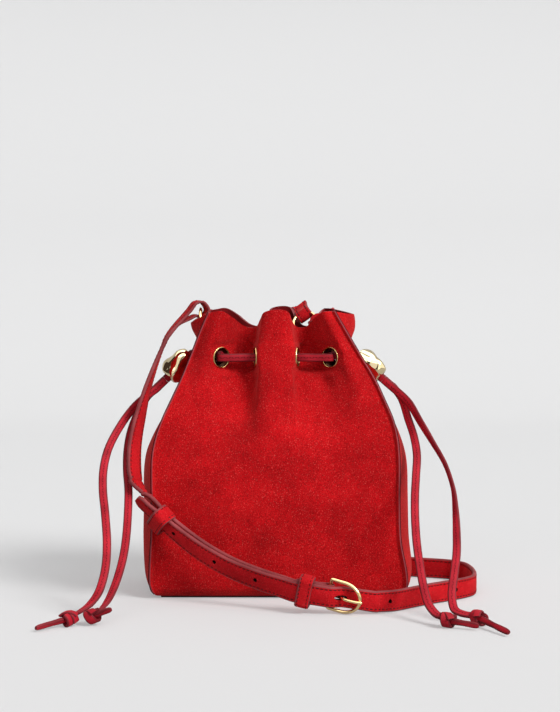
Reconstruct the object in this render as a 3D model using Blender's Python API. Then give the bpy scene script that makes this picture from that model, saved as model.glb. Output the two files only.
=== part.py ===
"""Suede drawstring bucket bag with a crossbody strap, standing on its base.

The bag is cinched by two flat laces that run through metal eyelets and leave through a
metal bead on each side. The strap hangs from a ring at each side of the mouth, crosses
the front to its buckle and lies on the ground around the bag's right side and back.

Frame: origin at the centre of the underside, +X to the right, +Y to the back, +Z up.
Working figures are in millimetres; new_object() turns them into Blender's metres.
"""
import math

import bmesh
import bpy
import numpy as np
from mathutils import Vector

MM = 0.001

# ---------------------------------------------------------------- driving dimensions
LEATHER = 2.0            # wall thickness
GAP = 0.3                # clearance between pieces that touch
CINCH = 181.0            # height of the eyelets, where the laces draw the bag in
BASE_THICK = 2.2
BOARD_THICK = 1.5

# Half width of the bag at its seams, left and right, by height.
SEAM_LEFT = [(0, 93), (6, 95.5), (20, 96), (60, 94), (105, 94), (122, 91), (136, 86), (150, 79.5),
             (165, 72.5), (181, 66), (198, 59.5), (218, 51)]
SEAM_RIGHT = [(0, 93), (6, 95.5), (20, 95), (45, 90.5), (75, 89.5), (105, 89.5), (122, 88), (136, 84.5),
              (150, 78.5), (165, 71.5), (181, 62), (198, 52), (218, 40.5)]
# Half depth at the seams, and how far the front and the side walls swell past them.
SEAM_DEPTH = [(0, 44), (8, 47.5), (60, 48), (110, 47), (140, 41), (165, 32), (181, 26), (198, 26), (218, 28)]
FRONT_BULGE = [(0, 0), (10, 2), (60, 6), (110, 6), (150, 5), (181, 10), (218, 8)]
SIDE_BULGE = [(0, 2), (8, 6), (20, 8), (60, 10), (100, 9), (130, 3), (160, -3), (181, -1), (190, 1),
              (196, 4.5), (203, 9.5), (213, 14.5), (218, 15)]
# Depth of the two pleats in the front and back, and of the pleat in each side.
PLEAT_DEPTH = [(0, 0), (80, 0), (120, 3), (150, 10), (170, 19), (181, 24), (200, 22), (218, 17)]
SIDE_PLEAT = [(0, 0), (140, 0), (152, 3), (165, 9), (176, 12.5), (186, 12), (192, 4), (200, 0), (218, 0)]
# Across a pleated panel: place in the leather (-1 left seam, 1 right seam), place in the
# gathered width, share of the pleat's depth, and height of the rim.
PLEATS = [(-1, -1, .08, 215.4), (-.80, -.84, 0, 216.5), (-.58, -.66, .42, 211.5), (-.40, -.46, 1, 204.4),
          (-.30, -.31, .95, 203.7), (-.22, -.27, .6, 210), (-.14, -.235, .15, 216), (0, 0, 0, 218),
          (.12, .20, .15, 216), (.20, .23, .6, 209), (.30, .29, .95, 204), (.40, .43, 1, 204),
          (.58, .63, .5, 211.5), (.80, .82, 0, 216), (1, 1, .08, 216.5)]
BACK_SHIFT = .12         # the back's pleats sit a little further right than the front's
EYELET_AT = (-.58, -.22, .20, .58)     # eyelets in the front, places in the leather
SIDE_RIM = {"left": 206.5, "right": 213.0}    # rim height at the middle of each side
ROWS = (0, 5, 12, 40, 80, 115, 140, 155, 165, 172, 181, 190, 196, 206, 217)
COLUMNS = (-1, -.9, -.8, -.73, -.655, -.58, -.505, -.43, -.37, -.31, -.265, -.22, -.175, -.12, -.06, 0,
           .06, .12, .16, .20, .24, .29, .35, .43, .505, .58, .655, .73, .8, .9, 1)
SIDE_COLUMNS = (-1, -.7, -.36, -.18, 0, .18, .36, .7, 1)

EYELET_BORE = 5.6
EYELET_BARREL = 6.2
EYELET_RIM = 8.2
PANEL_HOLE = 6.5
FLAT_ROUND_EYELET = 12.5   # the leather is flat this far to each side of an eyelet
FADE_ROUND_EYELET = 17.5

LACE_WIDTH = 6.2
LACE_THICK = 2.2
TIP_WIDTH = 4.6          # the bare tip beyond a knot is creased narrower and thicker
TIP_THICK = 3.0
LACE_STACK = 1.7         # each lace's offset from the axis of a bore that holds both
BEAD_BORE = 5.0
BEAD_HALF = 12.3         # half the bead's length along its bore
BEAD_RADIUS = 10.3
BEADS = {"left": (Vector((-76.4, 0, 173.0)), Vector((-.72, -.14, -.68)).normalized()),
         "right": (Vector((69.4, 0, 172.6)), Vector((.75, -.14, -.64)).normalized())}

STRAP_WIDTH = 15.9
STRAP_THICK = 3.0
STRAP_GAP = 0.8          # between the strap's two parts where they overlap
HOLE_RADIUS = 1.9
KEEPER_TURN = .09        # the fixed keeper sits slightly askew
RING_RADIUS = 8.9        # to the middle of the wire
RING_WIRE = 1.1


# ---------------------------------------------------------------- helpers
def clear_scene():
    for item in list(bpy.data.objects):
        bpy.data.objects.remove(item, do_unlink=True)


def new_material(name, colour, roughness, metallic=0.0):
    made = bpy.data.materials.new(name)
    made.use_nodes = True
    shader = made.node_tree.nodes["Principled BSDF"]
    shader.inputs["Base Color"].default_value = (*colour, 1)
    shader.inputs["Roughness"].default_value = roughness
    shader.inputs["Metallic"].default_value = metallic
    return made


def new_object(name, points, faces, material, smooth_below=40):
    """A closed mesh object from points in millimetres."""
    mesh = bpy.data.meshes.new(name)
    mesh.from_pydata([tuple(float(v) * MM for v in p) for p in points], [], faces)
    shape = bmesh.new()
    shape.from_mesh(mesh)
    bmesh.ops.recalc_face_normals(shape, faces=shape.faces)
    shape.to_mesh(mesh)
    shape.free()
    mesh.shade_smooth()
    mesh.set_sharp_from_angle(angle=math.radians(smooth_below))
    mesh.materials.append(material)
    made = bpy.data.objects.new(name, mesh)
    bpy.context.scene.collection.objects.link(made)
    return made


def combine(target, tool, operation):
    """Cut the tool from the target or join it on; the tool itself stays hidden."""
    tool.hide_render = True
    tool.hide_viewport = True
    tool.display_type = 'WIRE'
    step = target.modifiers.new(operation.lower(), 'BOOLEAN')
    step.operation = operation
    step.solver = 'EXACT'
    step.object = tool


def table(rows, at):
    """A smooth reading of a table of (place, value) pairs."""
    places = [row[0] for row in rows]
    at = min(max(at, places[0]), places[-1])
    k = max(1, min(len(rows) - 1, int(np.searchsorted(places, at))))
    (x0, y0), (x1, y1) = rows[k - 1], rows[k]
    left = rows[k - 2] if k > 1 else rows[k - 1]
    right = rows[k + 1] if k + 1 < len(rows) else rows[k]
    slope0 = (y1 - left[1]) / (x1 - left[0])
    slope1 = (right[1] - y0) / (right[0] - x0)
    t = (at - x0) / (x1 - x0)
    step = x1 - x0
    return ((1 + 2 * t) * (1 - t) ** 2 * y0 + t * (1 - t) ** 2 * step * slope0
            + t * t * (3 - 2 * t) * y1 + t * t * (t - 1) * step * slope1)


def pleat(column, at):
    return table([(row[0], row[column]) for row in PLEATS], at)


def unit(vectors):
    return vectors / np.linalg.norm(vectors, axis=-1, keepdims=True)


def smooth_rows(rows, spacing, bend=.45):
    """A Catmull-Rom curve through rows that start with a place; denser where the curve bends."""
    rows = np.array(rows, float)
    padded = np.vstack([2 * rows[0] - rows[1], rows, 2 * rows[-1] - rows[-2]])
    fine = []
    for a, b, c, d in zip(padded, padded[1:], padded[2:], padded[3:]):
        for t in np.linspace(0, 1, 16, endpoint=False):
            fine.append(.5 * (2 * b + (c - a) * t + (2 * a - 5 * b + 4 * c - d) * t ** 2
                              + (3 * b - a - 3 * c + d) * t ** 3))
    fine = np.array(fine + [rows[-1]])
    step = np.diff(fine[:, :3], axis=0)
    turn = np.arccos(np.clip(np.sum(unit(step[1:]) * unit(step[:-1]), axis=1), -1, 1))
    cost = np.linalg.norm(step, axis=1) / spacing + np.append(turn, 0) / bend
    run = np.append(0, np.cumsum(cost))
    at = np.linspace(0, run[-1], max(3, int(round(run[-1])) + 1))
    return np.column_stack([np.interp(at, run, column) for column in fine.T])


def ribbon_frames(path):
    """Places, directions, width directions and face directions along rows of a ribbon."""
    place = path[:, :3]
    step = unit(np.diff(place, axis=0))
    along = unit(np.vstack([step[:1], step]) + np.vstack([step, step[-1:]]))
    across = path[:, 3:6]
    across = unit(across - along * np.sum(across * along, axis=1, keepdims=True))
    return place, along, across, np.cross(along, across)


def ribbon(name, rows, material, spacing):
    """A flat strip through rows of (x y z, width direction, width, thickness)."""
    path = smooth_rows(rows, spacing)
    place, _, across, face = ribbon_frames(path)
    half_width = path[:, 6:7] / 2
    half_thick = path[:, 7:8] / 2
    corners = [(-1, -1), (1, -1), (1, 1), (-1, 1)]
    rings = np.stack([place + a * half_width * across + b * half_thick * face for a, b in corners], axis=1)
    return new_object(name, rings.reshape(-1, 3), tube_faces(len(rings), 4), material, 50)


def tube_faces(count, sides):
    """Faces of a capped tube made of count rings."""
    faces = [[i * sides + j, i * sides + (j + 1) % sides, (i + 1) * sides + (j + 1) % sides, (i + 1) * sides + j]
             for i in range(count - 1) for j in range(sides)]
    return faces + [list(range(sides)), [(count - 1) * sides + j for j in range(sides)]]


def loop_faces(count, sides):
    """Faces of a closed loop made of count rings."""
    return [[i * sides + j, i * sides + (j + 1) % sides,
             (i + 1) % count * sides + (j + 1) % sides, (i + 1) % count * sides + j]
            for i in range(count) for j in range(sides)]


def axes_of(direction):
    """Two unit directions square to the given one; the second points as much upward as it can."""
    direction = Vector(direction).normalized()
    up = Vector((0, 0, 1)) - direction * direction.z
    if up.length < .1:
        up = Vector((0, 1, 0))
    up.normalize()
    return up.cross(direction), up


def turned(name, profile, centre, axis, material, segments=12):
    """A ring turned about an axis from a closed profile of (radius, height along the axis)."""
    axis = Vector(axis).normalized()
    side, up = axes_of(axis)
    points = []
    for i in range(segments):
        angle = 2 * math.pi * i / segments
        out = side * math.cos(angle) + up * math.sin(angle)
        points += [Vector(centre) + out * radius + axis * height for radius, height in profile]
    return new_object(name, points, loop_faces(segments, len(profile)), material, 50)


def cylinder(name, centre, axis, radius, half, stretch=1.0, segments=16):
    """A cutter, stretch times as long across as it is high."""
    side, up = axes_of(axis)
    axis = Vector(axis).normalized()
    points = []
    for end in (-half, half):
        for i in range(segments):
            angle = 2 * math.pi * i / segments
            points.append(Vector(centre) + side * math.cos(angle) * radius * stretch
                          + up * math.sin(angle) * radius + axis * end)
    return new_object(name, points, tube_faces(2, segments), None)


# ---------------------------------------------------------------- the bag's walls
def seam_x(side, z):
    return -table(SEAM_LEFT, z) if side == "left" else table(SEAM_RIGHT, z)


def seam_y(z):
    return table(SEAM_DEPTH, z) - pleat(2, 1) * table(PLEAT_DEPTH, z)


def front_point(u, z, back=False):
    """A point of the front wall, or of the back wall, before it is flattened at the eyelets."""
    depth = table(PLEAT_DEPTH, z)
    gather = depth / 24
    share = u + (pleat(1, u) - u) * gather
    if back:
        share += BACK_SHIFT * (1 - u * u) * gather
    half = -seam_x("left", z) if share < 0 else seam_x("right", z)
    bulge = table(FRONT_BULGE, z) * (1 - u * u)
    y = -(table(SEAM_DEPTH, z) + bulge) + pleat(2, u) * depth
    if abs(u) == 1:
        y = -seam_y(z)
    return (share * half, -y if back else y)


def side_point(side, w, z):
    """A point of a side wall; w runs from -1 at the front seam to 1 at the back seam."""
    fold = table(SIDE_PLEAT, z) * .5 * (1 + math.cos(math.pi * min(1, abs(w) / .8)))
    out = table(SIDE_BULGE, z) * (1 - w * w) - fold
    x = seam_x(side, z)
    return (x - out if side == "left" else x + out, w * seam_y(z))


def wall_height(row, rim):
    """Rows above the cinch are spread up to the local rim height."""
    start = 190
    if row <= start:
        return row
    return start + (row - start) * (rim - start) / (ROWS[-1] - start)


def wall_columns():
    """Each wall's columns, in one loop around the bag: front, right, back, left."""
    columns = [("front", u) for u in COLUMNS]
    columns += [("right", w) for w in SIDE_COLUMNS[1:]]
    columns += [("back", u) for u in reversed(COLUMNS[:-1])]
    columns += [("left", w) for w in reversed(SIDE_COLUMNS[1:-1])]
    return columns


def rim_height(wall, at):
    if wall in ("front", "back"):
        return pleat(3, at)
    corner = pleat(3, -1 if wall == "left" else 1)
    return corner + (SIDE_RIM[wall] - corner) * (1 - at * at)


def wall_point(wall, at, row):
    z = wall_height(row, rim_height(wall, at))
    if wall in ("front", "back"):
        x, y = front_point(at, z, wall == "back")
    else:
        x, y = side_point(wall, at, z)
    return np.array((x, y, z))


def eyelet_places():
    """Name, wall and place of every eyelet."""
    places = [("eyelet_front_%d" % (i + 1), "front", u) for i, u in enumerate(EYELET_AT)]
    places += [("eyelet_back_%d" % (i + 1), "back", u) for i, u in enumerate(EYELET_AT)]
    return places + [("eyelet_side_left", "left", 0.0), ("eyelet_side_right", "right", 0.0)]


def eyelet_frame(wall, at):
    """An eyelet's centre on the outer surface and its outward direction, both level."""
    centre = wall_point(wall, at, CINCH)
    step = .03
    along = wall_point(wall, at + step, CINCH) - wall_point(wall, at - step, CINCH)
    normal = np.array((along[1], -along[0], 0))
    if wall in ("back", "left"):
        normal = -normal
    return centre, unit(normal)


def flatten(point, wall, at):
    """Press a wall point into the level plane of the eyelet that it is near."""
    for _, eyelet_wall, eyelet_at in eyelet_places():
        broad = wall in ("front", "back")
        if wall != eyelet_wall or (broad and abs(at - eyelet_at) > .2):
            continue
        centre, normal = eyelet_frame(wall, eyelet_at)
        height = float(np.dot(point - centre, normal))
        flat = point - centre - height * normal
        sideways = float(np.linalg.norm(flat[:2])) * (1 if broad else 1.25)
        far = max(sideways, 1.38 * abs(float(flat[2])))
        share = (far - FLAT_ROUND_EYELET) / (FADE_ROUND_EYELET - FLAT_ROUND_EYELET)
        share = min(max(share, 0), 1)
        point = point - normal * height * (1 - share * share * (3 - 2 * share))
    return point


def inner_ring(outer):
    """The ring one wall thickness inside a level ring of outer points."""
    ahead = np.roll(outer, -1, axis=0) - outer
    ahead[:, 2] = 0
    ahead = unit(ahead)
    before = np.roll(ahead, 1, axis=0)
    inward_ahead = np.column_stack([-ahead[:, 1], ahead[:, 0], ahead[:, 2]])
    inward_before = np.column_stack([-before[:, 1], before[:, 0], before[:, 2]])
    mitre = (inward_ahead + inward_before) / (1 + np.sum(inward_ahead * inward_before, axis=1, keepdims=True))
    return outer + LEATHER * mitre


def wall_rings():
    """Outer and inner points of the whole wall, row by row."""
    columns = wall_columns()
    outer = [np.array([flatten(wall_point(wall, at, row), wall, at) for wall, at in columns]) for row in ROWS]
    return np.array(outer), np.array([inner_ring(ring) for ring in outer])


def panel(name, outer, inner, first, last, material):
    """One wall between two of the loop's columns, as a closed solid."""
    count = outer.shape[1]
    picks = [k % count for k in range(first, last + 1)]
    skins = []
    for skin in (outer[:, picks].copy(), inner[:, picks].copy()):
        for edge, near in ((0, 1), (-1, -2)):
            skin[:, edge] += unit(skin[:, near] - skin[:, edge]) * GAP / 2
        skins.append(skin)
    rows, width = skins[0].shape[:2]
    rings = np.concatenate([skins[0], skins[1][:, ::-1]], axis=1)
    strips = [[i * 2 * width + j, i * 2 * width + (j + 1) % (2 * width),
               (i + 1) * 2 * width + (j + 1) % (2 * width), (i + 1) * 2 * width + j]
              for i in range(rows - 1) for j in range(2 * width)]
    ends = [[base + j, base + j + 1, base + 2 * width - 2 - j, base + 2 * width - 1 - j]
            for base in (0, (rows - 1) * 2 * width) for j in range(width - 1)]
    return new_object(name, rings.reshape(-1, 3), strips + ends, material, 60)


def walls(material):
    """Front, right side, back and left side, each with its eyelet holes."""
    outer, inner = wall_rings()
    wide = len(COLUMNS) - 1
    deep = len(SIDE_COLUMNS) - 1
    starts = {"front": 0, "right": wide, "back": wide + deep, "left": 2 * wide + deep}
    names = {"front": "front_panel", "right": "side_panel_right", "back": "back_panel",
             "left": "side_panel_left"}
    made = {}
    for wall, start in starts.items():
        span = wide if wall in ("front", "back") else deep
        made[wall] = panel(names[wall], outer, inner, start, start + span, material)
    for name, wall, at in eyelet_places():
        centre, normal = eyelet_frame(wall, at)
        cutter = cylinder("cut_" + name, centre, normal, PANEL_HOLE, 6)
        combine(made[wall], cutter, 'DIFFERENCE')
    return inner[0]


def plate(name, outline, low, high, material):
    """A flat plate from its outline, between two heights."""
    count = len(outline)
    points = [(x, y, low) for x, y in outline] + [(x, y, high) for x, y in outline]
    return new_object(name, points, tube_faces(2, count), material)


def shrink(ring, distance):
    """Pull a convex outline in by a distance on every side."""
    ring = np.array(ring)[:, :2]
    size = np.abs(ring).max(axis=0)
    return ring * (1 - distance / size)


def base(inner_foot, leather, board):
    foot = [p for p, (wall, at) in zip(inner_foot, wall_columns()) if abs(at) in (0, .36, .43, .7, .8, 1)]
    plate("base_panel", shrink(foot, GAP), 0, BASE_THICK, leather)
    low = BASE_THICK + GAP
    plate("base_board", shrink(foot, 2.5), low, low + BOARD_THICK, board)


# ---------------------------------------------------------------- eyelets
def eyelets(metal):
    """Each eyelet is a flanged barrel with its clinched end, and a washer behind the wall."""
    flange = [(EYELET_BORE, .9), (6.3, 1.3), (7.6, 1.1), (EYELET_RIM, GAP), (EYELET_BARREL, GAP),
              (EYELET_BARREL, -3.5), (7.2, -3.5), (7.1, -3.9), (EYELET_BORE, -3.9)]
    washer = [(PANEL_HOLE, -2.3), (EYELET_RIM, -2.3), (EYELET_RIM, -3.1), (PANEL_HOLE, -3.1)]
    for name, wall, at in eyelet_places():
        centre, normal = eyelet_frame(wall, at)
        turned(name, flange, centre, normal, metal)
        turned(name.replace("eyelet", "washer"), washer, centre, normal, metal)


# ---------------------------------------------------------------- laces
def bead_rows(side, lift, inside, outside):
    """Lace rows along a bead's bore, from one distance along it to another."""
    centre, axis = BEADS[side]
    forward, up = axes_of(axis)
    if forward.y > 0:
        forward = -forward
    rows = []
    for at in np.linspace(inside, outside, 4):
        place = centre + axis * at + forward * lift
        rows.append((*place, *up, LACE_WIDTH, LACE_THICK))
    return rows


def through(name, inward, turn, lift=0.0):
    """Lace rows on each side of an eyelet, in the order inside then outside."""
    wall, at = {key: (wall, at) for key, wall, at in eyelet_places()}[name]
    centre, normal = eyelet_frame(wall, at)
    direction = unit(normal + np.array((turn, 0, 0)))
    middle = centre - normal * 1.4 - np.array((0, lift, 0))
    return [(*(middle + direction * step), 0, 0, 1, LACE_WIDTH, LACE_THICK) for step in (-inward, 4.2)]


def held_lace(name, wall, lift, material):
    """The stretch of a lace between the two beads, in and out of its wall's eyelets."""
    forward = -1 if wall == "front" else 1
    rows = bead_rows("left", lift, 15, -14)
    rows += reversed(through("eyelet_side_left", 3, 0, lift))
    rows.append((-45.5, 7 * forward, CINCH, 0, 0, 1, LACE_WIDTH, LACE_THICK))
    rows += through("eyelet_%s_1" % wall, 4, -.45)
    rows += reversed(through("eyelet_%s_2" % wall, 5, 0))
    rows += through("eyelet_%s_3" % wall, 5, 0)
    rows += reversed(through("eyelet_%s_4" % wall, 4, .45))
    corner = [(39.5, -9)] if wall == "front" else [(44.4, 12.6), (41.6, 6.8)]
    rows += [(x, y, CINCH, 0, 0, 1, LACE_WIDTH, LACE_THICK) for x, y in corner]
    rows += through("eyelet_side_right", 3, 0, lift)
    rows += bead_rows("right", lift, -14, 15)
    return ribbon(name, rows, material, 6)


# Each tail's route from its bead to its knot: x, y, z and the direction of its width.
TAILS = {
    "tail_left_front": ("left", LACE_STACK, [
        (-102.4, -8, 149.8, -.7, -.2, .7),
        (-111.5, -17, 141.5, -.75, -.3, .6), (-120, -35, 129.6, -.8, -.4, .4),
        (-127, -52, 115.5, -.9, -.4, .2), (-129.8, -66, 101.5, -1, -.2, 0), (-129.3, -79, 87, -1, 0, 0),
        (-126.5, -92, 70, -1, 0, 0), (-124.2, -106, 52, -1, 0, 0), (-124.4, -118, 35.5, -1, 0, 0),
        (-128, -127, 21, -1, .1, 0), (-134, -133.5, 12.5, -.8, .5, 0), (-140.5, -140, 8.5, -.7, .6, -.2)]),
    "tail_left_back": ("left", -LACE_STACK, [
        (-101.6, -3.5, 149.2, -.7, -.1, .7),
        (-107.3, -9, 139.5, -.75, -.1, .6), (-112.8, -17, 125, -.9, -.2, .3), (-115, -26, 111, -1, -.1, 0),
        (-114.8, -36, 97, -1, 0, 0), (-112.8, -49, 83.5, -1, 0, 0), (-112, -64, 70, -1, 0, 0),
        (-112, -83, 52.8, -1, 0, 0), (-113.5, -99, 38.5, -1, 0, 0), (-117, -114, 25, -1, 0, -.2),
        (-121, -129, 15.5, -.9, -.1, -.4), (-124.8, -140, 11, -.8, -.1, -.5)]),
    "tail_right_front": ("right", LACE_STACK, [
        (99.5, -13, 146, .6, -.3, .7), (107.5, -27, 132.5, .5, -.6, .6), (115.5, -43, 119, .3, -.9, .4), (124, -58, 103.8, .2, -.95, .2),
        (128.8, -71, 88, .2, -.95, .1), (129.8, -82, 74.5, .4, -.9, 0), (129.7, -95, 58.5, .8, -.6, 0),
        (128.8, -106, 44, 1, -.2, 0), (126, -118, 31, 1, 0, 0), (123.6, -128, 19, 1, 0, 0),
        (124.5, -137, 10, 1, 0, .2), (129.5, -142.5, 7.5, .8, .4, .3)]),
    "tail_right_back": ("right", -LACE_STACK, [
        (95, -5, 147.5, .7, -.1, .7), (99, -15, 134, .8, -.2, .5), (102.6, -30, 121.5, .9, -.3, .3), (104, -44, 109, 1, -.1, 0),
        (102.5, -58, 96, 1, 0, 0), (100.8, -72, 81.6, 1, 0, 0), (100, -86, 67.5, 1, 0, 0),
        (100.2, -101, 52, 1, 0, 0), (101.4, -115, 38, 1, 0, 0), (103.3, -128, 24.5, 1, 0, .1),
        (106, -139, 14, 1, 0, .2), (110.5, -148, 8.5, .8, .3, .3)]),
}
# Each knot's centre, the end of the bare tip beyond it, and the tip's width direction.
KNOTS = {
    "tail_left_front": ((-147.5, -151.5, 6.4), (-168, -172.5, 3.1), (.4, -.4, .8)),
    "tail_left_back": ((-131.5, -148.5, 7.2), (-117.5, -152.5, 12.5), (0, -.6, .8)),
    "tail_right_front": ((140.5, -149.5, 6.6), (157.5, -188, 3.1), (.5, .2, .8)),
    "tail_right_back": ((117.8, -157, 6.4), (139, -166.5, 3.4), (0, -.3, .9)),
}
KNOT_SIZE = (6.8, 5.6, 5.7)


def tail(name, material):
    side, lift, route = TAILS[name]
    rows = bead_rows(side, lift, 15 + GAP, 26) + [(*row, LACE_WIDTH, LACE_THICK) for row in route]
    knot = Vector(KNOTS[name][0])
    last = Vector(route[-1][:3])
    stop = knot + (last - knot).normalized() * (KNOT_SIZE[0] + 1)
    rows.append((*stop, *route[-1][3:], LACE_WIDTH, LACE_THICK))
    return ribbon(name, rows, material, 14)


def knot(name, material):
    """An overhand knot as a plain lump, with the bare tip of the lace beyond it."""
    centre, tip, across = KNOTS[name]
    centre = Vector(centre)
    along = (Vector(tip) - centre).normalized()
    side, up = axes_of(along)
    points = [centre + along * KNOT_SIZE[0], centre - along * KNOT_SIZE[0]]
    bands, segments = 5, 10
    for i in range(1, bands + 1):
        polar = math.pi * i / (bands + 1)
        for j in range(segments):
            angle = 2 * math.pi * j / segments
            points.append(centre + along * math.cos(polar) * KNOT_SIZE[0]
                          + side * math.sin(polar) * math.cos(angle) * KNOT_SIZE[1]
                          + up * math.sin(polar) * math.sin(angle) * KNOT_SIZE[2])
    faces = [[0, 2 + j, 2 + (j + 1) % segments] for j in range(segments)]
    last = 2 + (bands - 1) * segments
    faces += [[1, last + (j + 1) % segments, last + j] for j in range(segments)]
    faces += [[2 + i * segments + j, 2 + i * segments + (j + 1) % segments,
               2 + (i + 1) * segments + (j + 1) % segments, 2 + (i + 1) * segments + j]
              for i in range(bands - 1) for j in range(segments)]
    lump = new_object(name.replace("tail", "knot"), points, faces, material, 60)
    rows = [(*centre.lerp(Vector(tip), share), *across, TIP_WIDTH, TIP_THICK) for share in (.1, .5, 1)]
    end = ribbon("join_" + name, rows, None, 10)
    combine(lump, end, 'UNION')
    return lump


# ---------------------------------------------------------------- beads
def bead(side, metal):
    """A dented nugget with a straight bore, wide enough for both laces."""
    centre, axis = BEADS[side]
    across, up = axes_of(axis)
    segments, steps = 20, 10
    points = []
    for i in range(segments):
        angle = 2 * math.pi * i / segments
        out = across * math.cos(angle) + up * math.sin(angle)
        for j in range(steps):
            share = -1 + 2 * j / (steps - 1)
            body = BEAD_BORE + .8 + (BEAD_RADIUS - BEAD_BORE - .8) * math.sqrt(max(0, 1 - abs(share) ** 2.6))
            dent = 1 + .10 * math.sin(3 * angle + 2.2 * share) - .07 * math.cos(2 * angle - 3 * share)
            radius = max(BEAD_BORE + .8, body * dent)
            points.append(centre + out * radius + axis * BEAD_HALF * share)
        points.append(centre + out * BEAD_BORE + axis * BEAD_HALF)
        points.append(centre + out * BEAD_BORE - axis * BEAD_HALF)
    return new_object("bead_" + side, points, loop_faces(segments, steps + 2), metal, 60)


# ---------------------------------------------------------------- rings and their tabs
RINGS = {"left": (Vector((-60, -4, 208.5)), Vector((1, 0, 0))),
         "right": (Vector((20.0, 3, 207.7)), Vector((-.30, -.66, .69)))}
RING_TABS = {
    "left": [(-54.6, -4, 194.8, 0, 1, 0), (-57.1, -4, 197.6, 0, 1, 0), (-57.7, -4, 200.4, 0, 1, 0),
             (-60, -4, 202.5, 0, 1, 0), (-62.3, -4, 200.4, 0, 1, 0), (-60.9, -4, 197.6, 0, 1, 0),
             (-58, -4, 195, 0, 1, 0)],
    "right": [(49.7, 0, 203.4, .31, .61, .72), (41.2, -1, 207.8, .31, .61, .72),
              (33.2, -2, 210.5, .31, .61, .72), (28.8, -1.2, 211.1, .31, .61, .72),
              (24.6, .6, 208.0, .31, .61, .72), (27.6, .3, 204.3, .31, .61, .72),
              (33.2, -.6, 205.0, .31, .61, .72), (41.2, -.4, 203.2, .31, .61, .72),
              (49.2, 0, 199.8, .31, .61, .72)],
}
TAB_WIDTH = 6.5
TAB_THICK = 1.3


def ring(side, metal):
    centre, axis = RINGS[side]
    profile = [(RING_RADIUS + RING_WIRE * math.cos(a), RING_WIRE * math.sin(a))
               for a in np.linspace(0, 2 * math.pi, 8, endpoint=False)]
    return turned("ring_" + side, profile, centre, axis, metal, 20)


def ring_tab(side, material):
    rows = [(*row, TAB_WIDTH, TAB_THICK) for row in RING_TABS[side]]
    return ribbon("ring_tab_" + side, rows, material, 5)


# ---------------------------------------------------------------- the strap
# Middle line of the strap where its two parts overlap, with its upper edge's direction.
OVERLAP = [(-103.5, -53.0, 80.5, -.15, -.98, .1), (-96.0, -58.0, 76.0, .1, -.95, .2),
           (-87.6, -62.0, 64.5, .35, -.84, .41), (-77.0, -64.5, 55.1, .37, -.79, .48),
           (-62.0, -68.8, 43.8, .39, -.73, .56), (-47.8, -74.3, 35.5, .37, -.68, .64),
           (-32.2, -81.0, 28.5, .34, -.65, .68), (-13.7, -89.3, 22.6, .31, -.58, .75),
           (1, -96.5, 19.0, .26, -.42, .87)]
BUCKLE_LEVEL = 2.35      # the layers' middle line passes this far in front of the buckle's own line
PUNCHED_TIP = [(-104.2, -59.5, 79.5, .3, -.86, .4), (-96.4, -60.5, 71.8, .33, -.85, .4)]
BUCKLE_AT = Vector((36.3, -106, 13.9))
BUCKLE_ALONG = Vector((.98, -.17, -.125)).normalized()
BUCKLE_UP = Vector((.125, -.17, 1))
BUCKLE_OUT = BUCKLE_ALONG.cross(BUCKLE_UP).normalized()
BUCKLE_ACROSS = BUCKLE_OUT.cross(BUCKLE_ALONG).normalized()
BAR_LEVEL = -1.5         # the bar lies this far behind the strap's own line
BAR_RADIUS = 1.2
FRAME_WIRE = 1.3
FRAME_LENGTH = 23.5      # from the bar to the middle of the far end's wire
FRAME_HALF = 11.0        # half the height, to the middle of the wire
FRAME_SHIFT = .9         # the frame's middle lies this far above the strap's at the bar
FRAME_TURN = .05         # and its arms dip this much along their length
FRAME_END_LEVEL = 3.8
# Strap between the ring at the left of the mouth and the overlap, from the turned end.
LEFT_LOOP = [(-75.6, -7, 203.6, .35, -.93, 0, 11, 1.4), (-70.4, -6, 208.8, .35, -.93, 0, 12, 1.6),
             (-64.4, -5, 212.0, .35, -.93, 0, 12, 1.8), (-59, -4.5, 211.5, .35, -.93, 0, 11.4, 2),
             (-55.2, -4, 216.4, .35, -.93, 0, 12, 2), (-58.6, -4, 222.0, .35, -.93, 0, 12, 2),
             (-64.2, -4.5, 221.8, .35, -.93, 0, 12, 2), (-68.8, -5, 216.2, .35, -.93, 0, 12.5, 2),
             (-74.6, -6.5, 209.6, .3, -.94, 0, 13, 2.2)]
LEFT_FALL = [(-86.0, -12, 195, .1, -1, 0), (-91.0, -16, 183, 0, -1, 0), (-95.4, -20, 171, -.1, -1, 0),
             (-99.5, -25, 158.5, -.2, -1, 0), (-102.6, -29, 147, -.3, -.95, 0),
             (-105.3, -33, 135, -.4, -.9, 0), (-107.5, -37, 124, -.46, -.88, 0),
             (-108.8, -41, 112, -.5, -.86, 0), (-108.6, -46, 98, -.5, -.86, -.05),
             (-106.8, -50, 88.5, -.38, -.92, 0)]
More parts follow.
